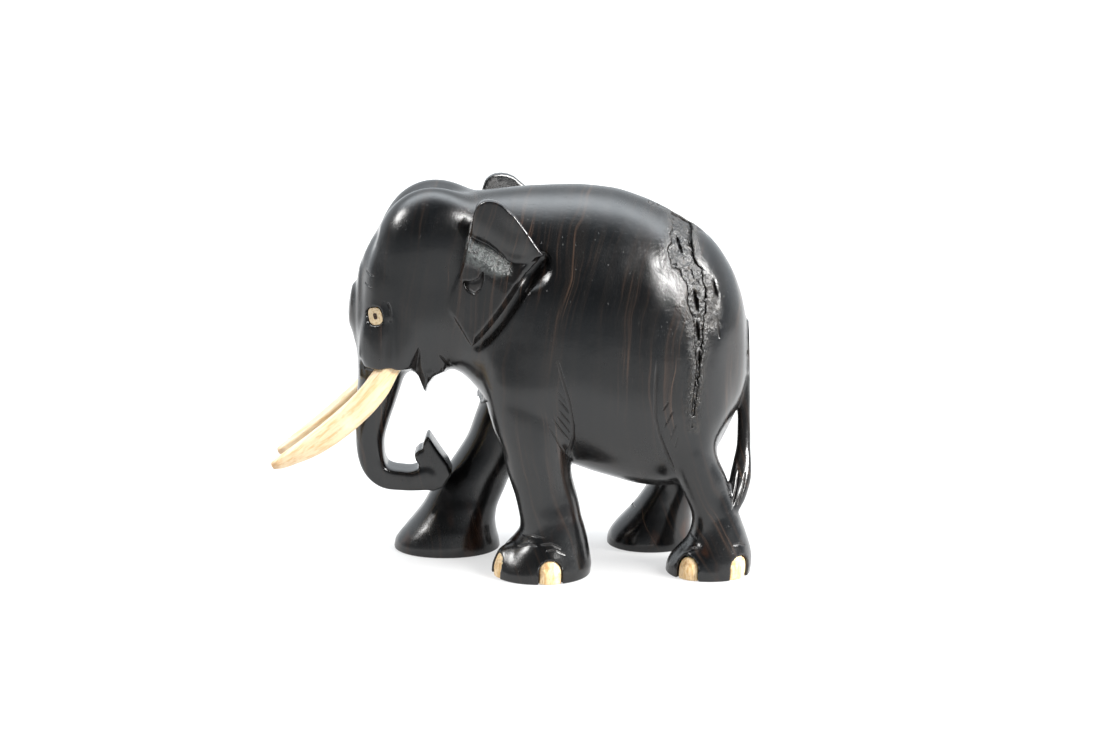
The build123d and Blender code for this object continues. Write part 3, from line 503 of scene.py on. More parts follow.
def carve(f):
    """cuts with crisp edges; returns the uncut surface for the pieces that sit in them"""
    base = f.F.copy()
    for s in (1, -1):
        # mouth: one V cut on each side, apex high on the cheek
        vcut(f, (18.4, -36.25, 70.2), (16.4, -40.6, 59.0), (14.2, -35.0, 58.6), (7.2, -38.9, 55.0), s)
        # small notches on the throat's edge
        for (y0, z0), (y1, z1), w in (((-35.5, 58.6), (-33.9, 54.9), 0.7), ((-33.4, 59.6), (-32.2, 55.9), 0.6), ((-31.4, 61.2), (-30.4, 57.0), 0.55)):
            x0 = abs(skin(f, y0, z0, s)); e = A((y1 - y0, z1 - z0)); q = A((-e[1], e[0])) / np.hypot(*e) * w
            vcut(f, (x0 + .2, y0, z0), (x0 + .2, y1 + q[0], z1 + q[1]), (x0 + .2, y1 - q[0], z1 - q[1]), (x0 - 2.6, y1, z1), s, k=0.2, pad=1.5)
        # spoon cut in the ear, deep under its upper edge and running out to a sharp lower lip
        lag = 0.0 if s > 0 else 1.6
        P = [(-24.3, 86.1), (-22.4, 86.0), (-20.2, 87.0), (-18.5, 89.7), (-18.3, 87.2), (-19.4, 84.4), (-21.2, 82.8), (-23.0, 83.6)]
        sl, x, y, z = f.sub((min(s * 12, s * 28), -28 + lag, 79), (max(s * 12, s * 28), -14 + lag, 93))
        Y, Z = np.meshgrid(y[0, :, 0] - lag, z[0, 0, :], indexing='ij'); d2 = polysd(P, Y, Z)[None].astype(np.float32)
        top = polyline(P[:4], Y, Z)[0][None].astype(np.float32)
        g = np.maximum(d2 * 0.9, -(base[sl] + 1.5 - 0.28 * top)); g = np.where(x * s > 14, g, 9); f.cut(sl, g, 0.15)
        # tusk socket, one glue line wider than the tusk
        T = A(TUSK).copy(); T[:, 4] *= s; T = np.c_[T, np.full(len(T), 2.35)]; T[:, 2:4] += 0.12
        sl, d = tube(f, T, 3); f.cut(sl, d, 0.15)
        # eye pocket
        sl, x, y, z = f.sub((min(s * 5, s * 20), EYE[0] - 6, EYE[1] - 6), (max(s * 5, s * 20), EYE[0] + 6, EYE[1] + 6))
        g = np.maximum(eye_ring(y, z, 0.2) + 0 * x, -(base[sl] + 1.3)); g = np.where(x * s > 6, g, 9); f.cut(sl, g, 0.12)
    # nail recesses, open at the sole
    for lg, s, ang, tag in NAILS:
        sl, u, o, z = nail_local(f, lg, s, ang); P = arch(NAIL_W / 2 + 0.35, NAIL_H + 0.35)
        d2 = polysd(P, u + 0 * z, z + 0 * u).astype(np.float32); g = np.maximum(d2, -(base[sl] + 1.55)); g = np.where(o > -6, g, 9); f.cut(sl, g, 0.2)
    # the crack and the torn patch behind it
    sl, x, y, z = f.sub((-8, 28, 42), (31.5, 52, 112)); B = base[sl]; d = chan(x, y, z)
    g = np.maximum(d, -(B + 3.0)); f.cut(sl, g, 0.25)
    Y, Z = np.meshgrid(y.ravel(), z.ravel(), indexing='ij')
    m = sstep(0.8, -1.2, polysd(PATCH, Y, Z))[None] * (x > 5)
    f.F[sl] += (m * (0.32 + 0.28 * noise(x, y, z, 1.3, 21) + 0.15 * noise(x, y, z, 0.6, 22))).astype(np.float32)
    g = slots(f, sl, x, y, z, B); f.cut(sl, g, 0.15)
    # chips along the ridge before and behind the crack
    for c, r in (((3.1, 28.8, 105.6), (1.6, 1.0, 0.8)), ((1.8, 31.0, 104.9), (1.8, 0.8, 0.7)), ((2.5, 32.6, 104.2), (1.2, 0.6, 0.5)), ((3.0, 43.2, 98.3), (4.5, 1.6, 1.2)),
                 ((1.0, 45.6, 96.3), (3.6, 0.9, 0.9))):
        sl2, d = egg(f, c, r, pad=2); f.cut(sl2, d, 0.3)
    f.F = np.maximum(f.F, np.broadcast_to(-f.ax[2][None, None, :], f.F.shape).astype(np.float32))
    return base


EYE_W, EYE_H = 2.0, 2.3           # half sizes of the eye inlay
NAIL_W, NAIL_H = 6.1, 6.7
# ------------------------------------------------------------------ knife lines, drawn in y-z on one side or both
# points, half width, depth, sides, kind of profile (0 = V cut, 1 = soft crease)
LINES = [
    ([(1.39, 67.03), (2.78, 62.31), (5.31, 53.14), (6.46, 45.59), (6.49, 41.55), (5.39, 36.65), (4.83, 33.83)], 0.55, 0.30, 3, 1),
    ([(2.15, 53.8), (5.52, 49.35)], 0.30, 0.30, 3, 0), ([(2.41, 50.38), (5.68, 45.93)], 0.30, 0.32, 3, 0), ([(1.91, 48.35), (5.44, 43.23)], 0.30, 0.30, 3, 0),
    ([(0.65, 47.79), (5.45, 40.54)], 0.28, 0.26, 3, 0), ([(-0.34, 45.74), (4.71, 35.9)], 0.26, 0.22, 3, 0), ([(2.0, 56.4), (4.6, 52.6)], 0.26, 0.2, 3, 0),
    ([(29.69, 66.09), (29.47, 56.33), (29.58, 48.41), (30.84, 42.95), (33.34, 36.15), (35.87, 29.78)], 0.60, 0.34, 3, 1),
    ([(33.11, 53.5), (31.48, 50.87)], 0.28, 0.26, 3, 0), ([(34.4, 50.87), (31.88, 45.6)], 0.30, 0.30, 3, 0), ([(35.47, 46.9), (33.69, 41.63)], 0.30, 0.28, 3, 0),
    ([(35.9, 43.0), (35.0, 38.6)], 0.26, 0.2, 3, 0),
    ([(38.5, 11.2), (40.2, 11.6), (42.0, 11.24)], 0.30, 0.26, 3, 0), ([(38.0, 7.6), (40.2, 8.9), (42.2, 9.03)], 0.32, 0.28, 3, 0),
    ([(52.11, 10.31), (54.2, 10.2), (55.8, 9.18)], 0.30, 0.26, 3, 0), ([(-2.84, 11.08), (0.4, 11.4), (3.4, 9.99)], 0.32, 0.30, 3, 0),
    ([(-1.13, 9.64), (1.8, 9.9), (4.54, 8.21)], 0.30, 0.28, 3, 0), ([(-9.2, 9.6), (-6.0, 10.9), (-3.6, 10.6)], 0.28, 0.22, 3, 0),
    ([(-8.0, 12.6), (-4.8, 13.3), (-1.6, 12.9)], 0.26, 0.18, 3, 0),
    ([(-31.36, 63.5), (-29.87, 61.51), (-28.23, 59.77)], 0.40, 0.34, 3, 0),
    ([(-52.04, 87.21), (-50.8, 86.38), (-49.59, 86.17)], 0.26, 0.24, 3, 0), ([(-52.63, 83.97), (-51.41, 83.38), (-50.22, 82.86)], 0.26, 0.22, 3, 0),
    ([(-45.8, 79.4), (-45.0, 77.6), (-44.7, 75.4), (-45.0, 73.4)], 0.45, 0.16, 3, 1),
    ([(54.2, 29.6), (53.4, 25.2), (51.9, 19.6)], 0.40, 0.42, 1, 0), ([(56.2, 28.8), (55.3, 24.8), (53.6, 20.4)], 0.35, 0.30, 1, 0),
    ([(56.6, 63.57), (56.62, 61.83)], 0.3, 0.3, 1, 0),
    ([(47.13, 75.4), (47.5, 69.71)], 0.35, 0.35, 1, 0),
]


def knife(co, nor, lo_x=2.5):
    """how deep each point is pressed in by the knife lines, mm"""
    out = np.zeros(len(co)); near = np.full(len(co), 9.0)
    for i, (pts, w, dep, sides, kind) in enumerate(LINES):
        for s in ((1, -1) if sides == 3 else (1,)):
            P = A(pts)
            if s < 0:                       # the same cuts by the same hand on the far side, never quite the same
                P = P + (0.5 * math.sin(i * 2.3), 0.5 * math.cos(i * 1.7))
                if P[0, 1] < 15:
                    P = P + ((-26.5, 0) if P[0, 0] < 20 else (-16.0, 0))
            m = (co[:, 0] * s > lo_x) & (nor[:, 0] * s > -0.25) & (co[:, 1] > P[:, 0].min() - 2) & (co[:, 1] < P[:, 0].max() + 2) & (co[:, 2] > P[:, 1].min() - 2) & (co[:, 2] < P[:, 1].max() + 2)
            m = np.nonzero(m)[0]
            if not len(m):
                continue
            d, t = polyline(P, co[m, 1], co[m, 2]); e = np.sqrt(np.clip(5 * t * (1 - t), 0, 1)) if kind == 0 else sstep(0, .12, t) * sstep(1, .88, t)
            ww = 1.2 * w * (0.55 + 0.45 * e); q = np.clip(1 - d / ww, 0, 1)
            g = dep * e * (q if kind == 0 else q * q * (3 - 2 * q))
            out[m] = np.maximum(out[m], g); near[m] = np.minimum(near[m], np.where(e > 0.05, d / ww, 9))
    return out * 1.2, near


def project(f, v, n=4, step=1.0):
    for i in range(n):
        g = f.grad(v, f.h * 0.75); q = np.maximum((g * g).sum(1), 0.15); d = np.clip(f.at(v), -0.5 * f.h, 0.5 * f.h)
        v = v - step * g * (d / q)[:, None]
    return v


def arrays(me):
    n = len(me.vertices); co = np.empty(n * 3); me.vertices.foreach_get("co", co); co = co.reshape(-1, 3) * 1000; co[:, 1] -= SHIFT
    return co


def put(me, co):
    me.vertices.foreach_set("co", mm(co).astype(np.float32).ravel()); me.update()


def vnormals(me):
    n = len(me.vertices); v = np.empty(n * 3, np.float32); me.vertex_normals.foreach_get("vector", v)
    return v.reshape(-1, 3).astype(float)


def decimate(o, tris):
    me = o.data; have = sum(len(p.vertices) - 2 for p in me.polygons) if len(me.polygons) < 1000 else len(me.loops) - 2 * len(me.polygons)
    if have <= tris:
        return
    m = o.modifiers.new("thin", "DECIMATE"); m.ratio = tris / have; m.use_collapse_triangulate = True
    apply_mods(o)


def apply_mods(o):
    dg = bpy.context.evaluated_depsgraph_get(); dg.update()
    me = bpy.data.meshes.new_from_object(o.evaluated_get(dg), preserve_all_data_layers=True, depsgraph=dg)
    o.modifiers.clear(); old = o.data; o.data = me; bpy.data.meshes.remove(old)


def refine(o, f_near, length, passes):
    """splits long edges where f_near(points) says so"""
    bm = bmesh.new(); bm.from_mesh(o.data)
    for i in range(passes):
        bm.verts.ensure_lookup_table(); co = np.array([v.co[:] for v in bm.verts]) * 1000; co[:, 1] -= SHIFT
        want = f_near(co); ed = [e for e in bm.edges if (want[e.verts[0].index] or want[e.verts[1].index]) and e.calc_length() * 1000 > length]
        if not ed:
            break
        bmesh.ops.subdivide_edges(bm, edges=ed, cuts=1, use_grid_fill=False)
        bm.verts.index_update()
        bmesh.ops.triangulate(bm, faces=[q for q in bm.faces if len(q.verts) > 3])
        bm.verts.index_update()
    bm.to_mesh(o.data); bm.free(); o.data.update()


def attribute(o, name, v):
    a = o.data.attributes.new(name, "FLOAT", "POINT"); a.data.foreach_set("value", np.asarray(v, np.float32))


def smooth_normals(o, f, keep=None, sharp=0.0):
    """shading normals from the field; where keep is below 1, from the mesh itself"""
    me = o.data; me.polygons.foreach_set("use_smooth", np.ones(len(me.polygons), bool)); co = arrays(me)
    g = f.grad(co, f.h * 0.9); ln = np.linalg.norm(g, axis=1); g = g / np.maximum(ln, 1e-6)[:, None]; mv = vnormals(me)
    w = sstep(0.72, 0.93, ln) if keep is None else sstep(0.72, 0.93, ln) * keep
    w = w * sstep(0.6, 0.9, (g * mv).sum(1))
    n = g * w[:, None] + mv * (1 - w[:, None]); n /= np.maximum(np.linalg.norm(n, axis=1), 1e-6)[:, None]
    me.normals_split_custom_set_from_vertices(n.astype(np.float32).tolist())


def clean(o):
    """loose specks and zero faces out"""
    bm = bmesh.new(); bm.from_mesh(o.data); bm.verts.ensure_lookup_table(); seen = set(); groups = []
    for v in bm.verts:
        if v in seen:
            continue
        st = [v]; seen.add(v); g = []
        while st:
            a = st.pop(); g.append(a)
            for e in a.link_edges:
                b = e.other_vert(a)
                if b not in seen:
                    seen.add(b); st.append(b)
        groups.append(g)
    big = max(len(g) for g in groups); dead = [v for g in groups if len(g) < max(60, big * 0.01) for v in g]
    if dead:
        bmesh.ops.delete(bm, geom=dead, context="VERTS")
    bmesh.ops.dissolve_degenerate(bm, dist=2e-6, edges=bm.edges)
    bmesh.ops.triangulate(bm, faces=[q for q in bm.faces if len(q.verts) > 3])
    bm.to_mesh(o.data); bm.free(); o.data.update()


def build_body(f, base, mat):
    v, q = surface_nets(f.F, f.lo, f.h); v = project(f, v, 2, 0.8)
    v[:, 2] = np.maximum(v[:, 2], 0)
    o = make("elephant_body", v, q, mat); clean(o); decimate(o, 150000)
    co = project(f, arrays(o.data), 2, 0.6); co[:, 2] = np.maximum(co[:, 2], 0); put(o.data, co)
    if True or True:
        refine(o, lambda p: knife(p, np.sign(p) * 1.0)[1] < 2.0, 0.22, 3)
    co = project(f, arrays(o.data), 1, 0.7); co[:, 2] = np.maximum(co[:, 2], 0); put(o.data, co)
    n = f.grad(co, f.h); n /= np.maximum(np.linalg.norm(n, axis=1), 1e-6)[:, None]
    dep, near = knife(co, n); co = co - n * dep[:, None]; co[:, 2] = np.maximum(co[:, 2], 0); put(o.data, co)
    keep = sstep(1.0, 1.7, near)
    smooth_normals(o, f, keep)
    # what each place is like, for the finish
    F0 = f.F; f.F = base; depth = -f.at(co); f.F = F0
    x, y, z = co.T
    # the rough patch under the ear's crease: its pitted grain is real, its light grey in the finish is a painted
    # highlight
    ear_patch_and_sheen = sstep(1.0, -1.0, polysd([(-23.2, 97.6), (-19.6, 96.4), (-17.4, 95.5), (-14.0, 93.2), (-11.6, 91.6), (-11.4, 88.6), (-15.0, 88.4), (-19.0, 89.8), (-23.6, 91.6)], y - np.where(x > 0, 0, 1.6), z))
    ear_patch_and_sheen = ear_patch_and_sheen * (np.abs(x) > 14) * (np.abs(n[:, 0]) > 0.15)
    torn = sstep(3.2, -0.5, polysd(CRACK_L + CRACK_R, y, z) + 0.9 * noise(x, y, z, 2.2, 41)) * (x > -6) * (z > 44)
    torn = np.maximum(torn, sstep(1.2, -0.8, polysd(PATCH, y, z) + 0.5 * noise(x, y, z, 1.5, 42)) * (x > 5))
    attribute(o, "worn", np.maximum(ear_patch_and_sheen, torn)); attribute(o, "ear_patch_and_sheen", ear_patch_and_sheen); attribute(o, "torn", torn)
    attribute(o, "inside", np.clip(np.maximum(depth / 0.6, np.where(near < 1, dep / 0.3, 0)), 0, 1))
    return o


def build_inlay(name, g, lo, h, mat, tris=6000):
    v, q = surface_nets(g, lo, h); lf = Field(lo, lo + h * (np.array(g.shape) - 1), h); lf.F = g.astype(np.float32)
    v = project(lf, v, 3, 0.8); v[:, 2] = np.maximum(v[:, 2], 0.0)
    o = make(name, v, q, mat); clean(o); decimate(o, tris); o.data.polygons.foreach_set("use_smooth", np.ones(len(o.data.polygons), bool))
    m = o.modifiers.new("n", "WEIGHTED_NORMAL"); apply_mods(o)
    return o


def grid(lo, hi, h):
    ax = [np.arange(lo[i], hi[i] + h, h, dtype=np.float32) for i in range(3)]
    return np.array([a[0] for a in ax], float), ax[0][:, None, None], ax[1][None, :, None], ax[2][None, None, :]


def sample(f, x, y, z):
    X, Y, Z = np.broadcast_arrays(x, y, z); sh = X.shape
    return f.at(np.stack([X.ravel(), Y.ravel(), Z.ravel()], 1).astype(float)).reshape(sh)


def build_nail(fb, lg, s, ang, name, mat, i):
    p, d, u = nail_frame(lg, s, ang); h = 0.22
    lo = p - (5.2, 5.2, 0.6); hi = p + (5.2, 5.2, 10.2); o0, x, y, z = grid(lo, hi, h); X = x - p[0]; Y = y - p[1]; U = X * u[0] + Y * u[1]; O = X * d[0] + Y * d[1]
    w = NAIL_W / 2 + 0.06 * math.sin(i * 1.9); hh = NAIL_H + 0.25 * math.sin(i * 2.7)
    d2 = polysd(arch(w, hh), U + 0 * z, z + 0 * U); B = sample(fb, x, y, z)
    face = B + 0.75 + 0.05 * noise(x, y, z, 1.6, 30 + i) - 0.25 * np.clip(1 - (U / w)**2, 0, 1) + 0.18 * sstep(hh - 3, hh, z)
    g = np.maximum(np.maximum(d2 + 0.05 * noise(x, y, z, 1.1, 50 + i), face), -(B + 3.0))
    g = np.maximum(g, -z - 0 * g); g = np.maximum(g, -O - 3.2)
    return build_inlay(name, g.astype(np.float32), o0, h, mat)


def build_eye(fb, s, mats):
    h = 0.1
    y0, z0 = EYE; xs = abs(skin(fb, y0, z0, s)); lo = (min(s * (xs - 3.6), s * (xs + 2.2)), y0 - 3, z0 - 3.2); hi = (max(s * (xs - 3.6), s * (xs + 2.2)), y0 + 3, z0 + 3.2)
    o0, x, y, z = grid(lo, hi, h); B = sample(fb, x, y, z)
    ring = eye_ring(y, z) + 0.05 * noise(x, y, z, 0.8, 61) ; hole = eye_ring(y, z, 0, 0.58, 0.86) + 0 * x
    bone = np.maximum(np.maximum(ring + 0 * x, B + 0.12 + 0.04 * noise(x, y, z, 0.7, 62)), -(B + 1.6)); bone = np.maximum(bone, -(hole - 0.0))
    dark = np.maximum(np.maximum(hole + 0.0, B + 0.32), -(B + 1.5))
    tag = "left" if s > 0 else "right"
    a = build_inlay(f"eye_bone_{tag}", bone.astype(np.float32), o0, h, mats[0]); b = build_inlay(f"eye_pupil_{tag}", dark.astype(np.float32), o0, h, mats[1], 2500)
    return a, b


def build_fill(fb, mat):
    h = 0.26
    o0, x, y, z = grid((-6.5, 31.0, 43.5), (31.0, 47.0, 106.5), h); B = sample(fb, x, y, z); d = chan(x, y, z)
    rec = 0.30 + 0.75 * sstep(84, 100, z) + 0.15 * sstep(60, 80, z)
    n1 = noise(x, y, z, 1.5, 71); n2 = noise(x, y, z, 0.62, 72); amp = sstep(45, 66, z)
    B2 = B + rec - (0.26 * n1 * (0.4 + 0.6 * amp) + 0.24 * n2 * (0.35 + 0.65 * amp))
    g = np.maximum(np.maximum(d + 0.04, B2), -(B + 3.0)); s = slots(None, None, x, y, z, B)
    g = np.maximum(g, -s)
    return build_inlay("crack_filler", g.astype(np.float32), o0, h, mat, 60000)


def build_tusk(s, mat):
    T = dense(TUSK, 140); T = T[T[:, 1] < 63.8]; m = 72
    if s < 0:                              # the far tusk is the near one mirrored across the middle
        T = T.copy(); T[:, 4] *= -1
    t = np.gradient(T[:, :2], axis=0); t /= np.linalg.norm(t, axis=1)[:, None]; n = np.stack([-t[:, 1], t[:, 0]], 1)
    k = np.linspace(0, 1, len(T)); th = np.linspace(0, 2 * np.pi, m, endpoint=False); rows = []
    for i in range(len(T)):
        e = 2.0 / (2.55 - 0.3 * k[i]); c = np.cos(th + 0.22 * s); q = np.sin(th + 0.22 * s)
        a = np.sign(c) * np.abs(c)**e * T[i, 2]; b = np.sign(q) * np.abs(q)**e * T[i, 3]
        # cut with a knife, so long flats meet in soft arrises
        f = 1 - 0.035 * np.abs(np.cos(3 * th + 1.2 * k[i]))**3 - 0.012 * np.cos(5 * th + 6 * k[i] + s)
        a = a * f; b = b * f
        rows.append(np.stack([T[i, 4] + b, T[i, 0] + n[i, 0] * a, T[i, 1] + n[i, 1] * a], 1))
    # blunt tip, a little chipped, with the end of the marrow channel showing
    end = rows[-1]; c = end.mean(0); dirn = np.array([0, t[-1, 0], t[-1, 1]])
    for j, (sc, ad) in enumerate(((0.93, 0.22), (0.80, 0.40), (0.60, 0.50), (0.42, 0.52), (0.32, 0.40), (0.26, -0.35), (0.18, -0.9))):
        p = c + (end - c) * sc + dirn * ad; p = p + 0.06 * noise(p[:, 0], p[:, 1], p[:, 2], 0.5, 80 + j)[:, None]; rows.append(p)
    st = rows[0]; rows = [st.mean(0) + (st - st.mean(0)) * q for q in (0.02, 0.5, 0.9)] + rows
    V = np.concatenate(rows + [rows[-1].mean(0)[None] + dirn * -0.1]); R = len(rows)
    V = V + 0.03 * np.stack([noise(V[:, 0], V[:, 1], V[:, 2], 2.0, 90 + j) for j in range(3)], 1)
    F = []
    for i in range(R - 1):
        a = i * m + np.arange(m); b = i * m + (np.arange(m) + 1) % m; F.append(np.stack([a, b, b + m, a + m], 1))
    F = np.concatenate(F); last = R * m; cap = [(last - m + j, last - m + (j + 1) % m, last) for j in range(m)]
    cap += [((j + 1) % m, j, 0) for j in range(1, m - 1)]
    o = make_mixed(f"tusk_bone_{'left' if s > 0 else 'right'}", V, [tuple(q) for q in F.tolist()] + [c for c in cap if len(set(c)) == 3], mat)
    bm = bmesh.new(); bm.from_mesh(o.data); bmesh.ops.recalc_face_normals(bm, faces=bm.faces); bm.to_mesh(o.data); bm.free()
    co = arrays(o.data); d = np.hypot(co[:, 1] - c[1], co[:, 2] - c[2])
    attribute(o, "tip", sstep(2.6, 0.6, d)); attribute(o, "along", np.clip((co[:, 1] + 80) / 40, 0, 1))
    hole = np.zeros(len(co)); hole[(R - 4) * m:] = 1; attribute(o, "hole", hole)
    return o


def make_mixed(name, verts, faces, mat):
    me = bpy.data.meshes.new(name); me.from_pydata(mm(verts).tolist(), [], faces); me.validate(); me.update()
    me.polygons.foreach_set("use_smooth", np.ones(len(me.polygons), bool))
    o = bpy.data.objects.new(name, me); bpy.context.scene.collection.objects.link(o); me.materials.append(mat)
    return o
# ------------------------------------------------------------------ finishes
class Net:
    """short hand for a node tree"""

    def __init__(s, name, world=False):
        if world:
            s.m = bpy.data.worlds.new(name); bpy.context.scene.world = s.m
        else:
            s.m = bpy.data.materials.new(name)
        s.m.use_nodes = True; s.t = s.m.node_tree; s.t.nodes.clear()

    def n(s, kind, **kw):
        o = s.t.nodes.new(kind)
        for k, v in kw.items():
            if k.startswith("i_"):
                s.put(o.inputs[k[2:].replace("_", " ")], v)
            else:
                setattr(o, k, v)
        return o

    def put(s, sock, v):
        if hasattr(v, "is_linked") or hasattr(v, "links"):
            s.t.links.new(v, sock)
        else:
            sock.default_value = v

    def math(s, op, a, b=0.0, c=0.0, clamp=False):
        o = s.n("ShaderNodeMath", operation=op, use_clamp=clamp)
        for i, v in enumerate((a, b, c)):
            s.put(o.inputs[i], v)
        return o.outputs[0]

    def vmath(s, op, a, b=(0, 0, 0)):
        o = s.n("ShaderNodeVectorMath", operation=op); s.put(o.inputs[0], a); s.put(o.inputs[1], b)
        return o.outputs["Value"] if op in ("LENGTH", "DOT_PRODUCT") else o.outputs["Vector"]

    def noise(s, vec, scale=1.0, detail=3.0, rough=0.5, dist=0.0):
        o = s.n("ShaderNodeTexNoise", noise_dimensions="3D"); s.put(o.inputs["Vector"], vec); s.put(o.inputs["Scale"], scale)
        s.put(o.inputs["Detail"], detail); s.put(o.inputs["Roughness"], rough); s.put(o.inputs["Distortion"], dist)
        return o.outputs["Fac"]

    def ramp(s, fac, a, b, lo=0.0, hi=1.0):
        o = s.n("ShaderNodeMapRange", clamp=True, interpolation_type="SMOOTHSTEP")
        for k, v in (("Value", fac), ("From Min", a), ("From Max", b), ("To Min", lo), ("To Max", hi)):
            s.put(o.inputs[k], v)
        return o.outputs["Result"]

    def mix(s, fac, a, b):
        o = s.n("ShaderNodeMix", data_type="RGBA"); s.put(o.inputs[0], fac); s.put(o.inputs[6], a); s.put(o.inputs[7], b)
        return o.outputs[2]

    def stretch(s, vec, sx, sy, sz):
        return s.vmath("MULTIPLY", vec, (sx, sy, sz))

    def attr(s, name):
        return s.n("ShaderNodeAttribute", attribute_name=name, attribute_type="GEOMETRY").outputs["Fac"]

    def mm(s):
        """object position in mm, from the saddle of the back"""
        c = s.n("ShaderNodeTexCoord").outputs["Object"]
        return s.vmath("SUBTRACT", s.vmath("MULTIPLY", c, (1000, 1000, 1000)), (0, SHIFT, 0))

    def bump(s, height, dist, normal=None, strength=1.0):
        o = s.n("ShaderNodeBump"); s.put(o.inputs["Height"], height); s.put(o.inputs["Distance"], dist); s.put(o.inputs["Strength"], strength)
        if normal is not None:
            s.put(o.inputs["Normal"], normal)
        return o.outputs["Normal"]

    def surface(s, **kw):
        b = s.n("ShaderNodeBsdfPrincipled")
        for k, v in kw.items():
            s.put(b.inputs[k.replace("_", " ")], v)
        s.t.links.new(b.outputs[0], s.n("ShaderNodeOutputMaterial").inputs["Surface"])
        return b


def col(r, g, b):
    return (r, g, b, 1.0)


def ebony():
    s = Net("ebony_polished"); p = s.mm()
    worn, ear_patch_and_sheen, torn, inside = (s.attr(k) for k in ("worn", "ear_patch_and_sheen", "torn", "inside"))
    # growth rings: shells about an axis well behind the rump, so they stand upright on the flank and bend back over the top
    warp = s.noise(s.stretch(p, 0.05, 0.05, 0.03), 1.0, 2.0)
    q = s.vmath("MULTIPLY", s.vmath("SUBTRACT", p, (0, 118, 58)), (0.35, 1, 0.9))
    r = s.math("ADD", s.vmath("LENGTH", q), s.math("MULTIPLY", warp, 7.0))
    c = s.n("ShaderNodeCombineXYZ"); s.put(c.inputs[0], s.math("MULTIPLY", r, 0.95)); sep = s.n("ShaderNodeSeparateXYZ"); s.put(sep.inputs[0], p)
    s.put(c.inputs[1], s.math("MULTIPLY", sep.outputs[2], 0.022)); s.put(c.inputs[2], s.math("MULTIPLY", sep.outputs[0], 0.03))
    fine = s.noise(c.outputs[0], 1.0, 4.0, 0.62); wide = s.noise(c.outputs[0], 0.28, 2.0, 0.5)
    zone = s.ramp(s.noise(p, 0.028, 2.0, 0.5), 0.46, 0.66)
    fibre = s.noise(s.stretch(p, 3.2, 3.2, 0.16), 1.0, 2.0, 0.6)
    streak = s.math("MULTIPLY", s.ramp(fine, 0.50, 0.68), s.math("ADD", s.math("MULTIPLY", s.ramp(wide, 0.42, 0.62), 0.75), 0.15))
    streak = s.math("MULTIPLY", streak, s.math("ADD", s.math("MULTIPLY", zone, 0.65), 0.3))
    base = s.mix(s.ramp(wide, 0.35, 0.7), col(0.0019, 0.0023, 0.0028), col(0.0048, 0.0044, 0.0043))
    c1 = s.mix(streak, base, col(0.052, 0.031, 0.021))
    pores = s.ramp(fibre, 0.62, 0.78)
    c2 = s.mix(s.math("MULTIPLY", pores, 0.35), c1, col(0.030, 0.024, 0.021))
    # rust-brown heartwood showing low on the feet
    low = s.math("MULTIPLY", s.ramp(sep.outputs[2], 26.0, 2.0), s.ramp(s.noise(s.stretch(p, 0.16, 0.16, 0.07), 1.0, 2.0), 0.55, 0.72))
    c3 = s.mix(s.math("MULTIPLY", low, 0.30), c2, col(0.075, 0.028, 0.012))
    c4 = s.mix(s.math("MULTIPLY", torn, s.ramp(s.noise(p, 0.7, 3.0, 0.6), 0.35, 0.75, 0.0, 0.6)), c3, col(0.035, 0.027, 0.019))
    # painted highlight: the rough patch under the ear's crease is turned a light bluish grey to stand in for the glint
    # of the overhead light
    c4 = s.mix(s.math("MULTIPLY", ear_patch_and_sheen, s.ramp(s.noise(p, 0.8, 3.0, 0.6), 0.30, 0.62, 0.10, 0.85)), c4, col(0.105, 0.115, 0.112))
    c5 = s.mix(s.math("MULTIPLY", inside, 0.75), c4, col(0.010, 0.0075, 0.0065))
    # polish: even, with faint cloudy hand wear; duller in cuts and torn grain
    cloud = s.noise(p, 0.09, 3.0, 0.55)
    ro = s.math("ADD", s.ramp(cloud, 0.3, 0.7, 0.155, 0.25), s.math("MULTIPLY", s.noise(s.stretch(p, 2.5, 2.5, 0.12), 1.0, 2.0), 0.05))
    ro = s.math("ADD", ro, s.math("MULTIPLY", torn, 0.06)); ro = s.math("ADD", ro, s.math("MULTIPLY", inside, 0.22))
    # grain: fine upright fibres; deep pitted chatter in the patch and torn grain
    h1 = s.math("MULTIPLY", s.noise(s.stretch(p, 2.6, 2.6, 0.10), 1.0, 3.0, 0.6), 0.020)
    h2 = s.math("MULTIPLY", s.noise(p, 0.35, 2.0), 0.035)
    pit = s.noise(s.stretch(p, 1.0, 1.0, 0.8), 1.25, 3.0, 0.65); pit = s.math("MULTIPLY", s.math("MULTIPLY", pit, worn), 0.62)
    scratch = s.math("MULTIPLY", s.ramp(s.noise(s.stretch(p, 1.4, 0.5, 1.9), 1.0, 3.0, 0.7), 0.60, 0.72), -0.012)
    dots = s.n("ShaderNodeTexVoronoi", feature="F1"); s.put(dots.inputs["Vector"], s.stretch(p, 0.55, 0.55, 0.22)); s.put(dots.inputs["Scale"], 1.0)
    pock = s.math("MULTIPLY", s.ramp(dots.outputs["Distance"], 0.09, 0.04), -0.05)
    h = s.math("ADD", s.math("ADD", s.math("ADD", h1, h2), pit), s.math("ADD", scratch, pock))
    s.surface(Base_Color=c5, Roughness=ro, Normal=s.bump(h, 0.001), IOR=1.5, Coat_Weight=0.12, Coat_Roughness=0.10, Coat_IOR=1.5)
    return s.m


def filler():
    s = Net("filler_black_gloss"); p = s.mm()
    a = s.noise(p, 0.9, 4.0, 0.65); b = s.noise(p, 2.6, 3.0, 0.6)
    c = s.mix(s.ramp(a, 0.5, 0.72), col(0.0045, 0.0042, 0.0042), col(0.030, 0.023, 0.016))
    h = s.math("ADD", s.math("MULTIPLY", a, 0.34), s.math("MULTIPLY", b, 0.14))
    s.surface(Base_Color=c, Roughness=s.ramp(s.noise(p, 0.5, 2.0), 0.35, 0.65, 0.20, 0.50), Normal=s.bump(h, 0.001), IOR=1.5, Coat_Weight=0.06, Coat_Roughness=0.10)
    return s.m


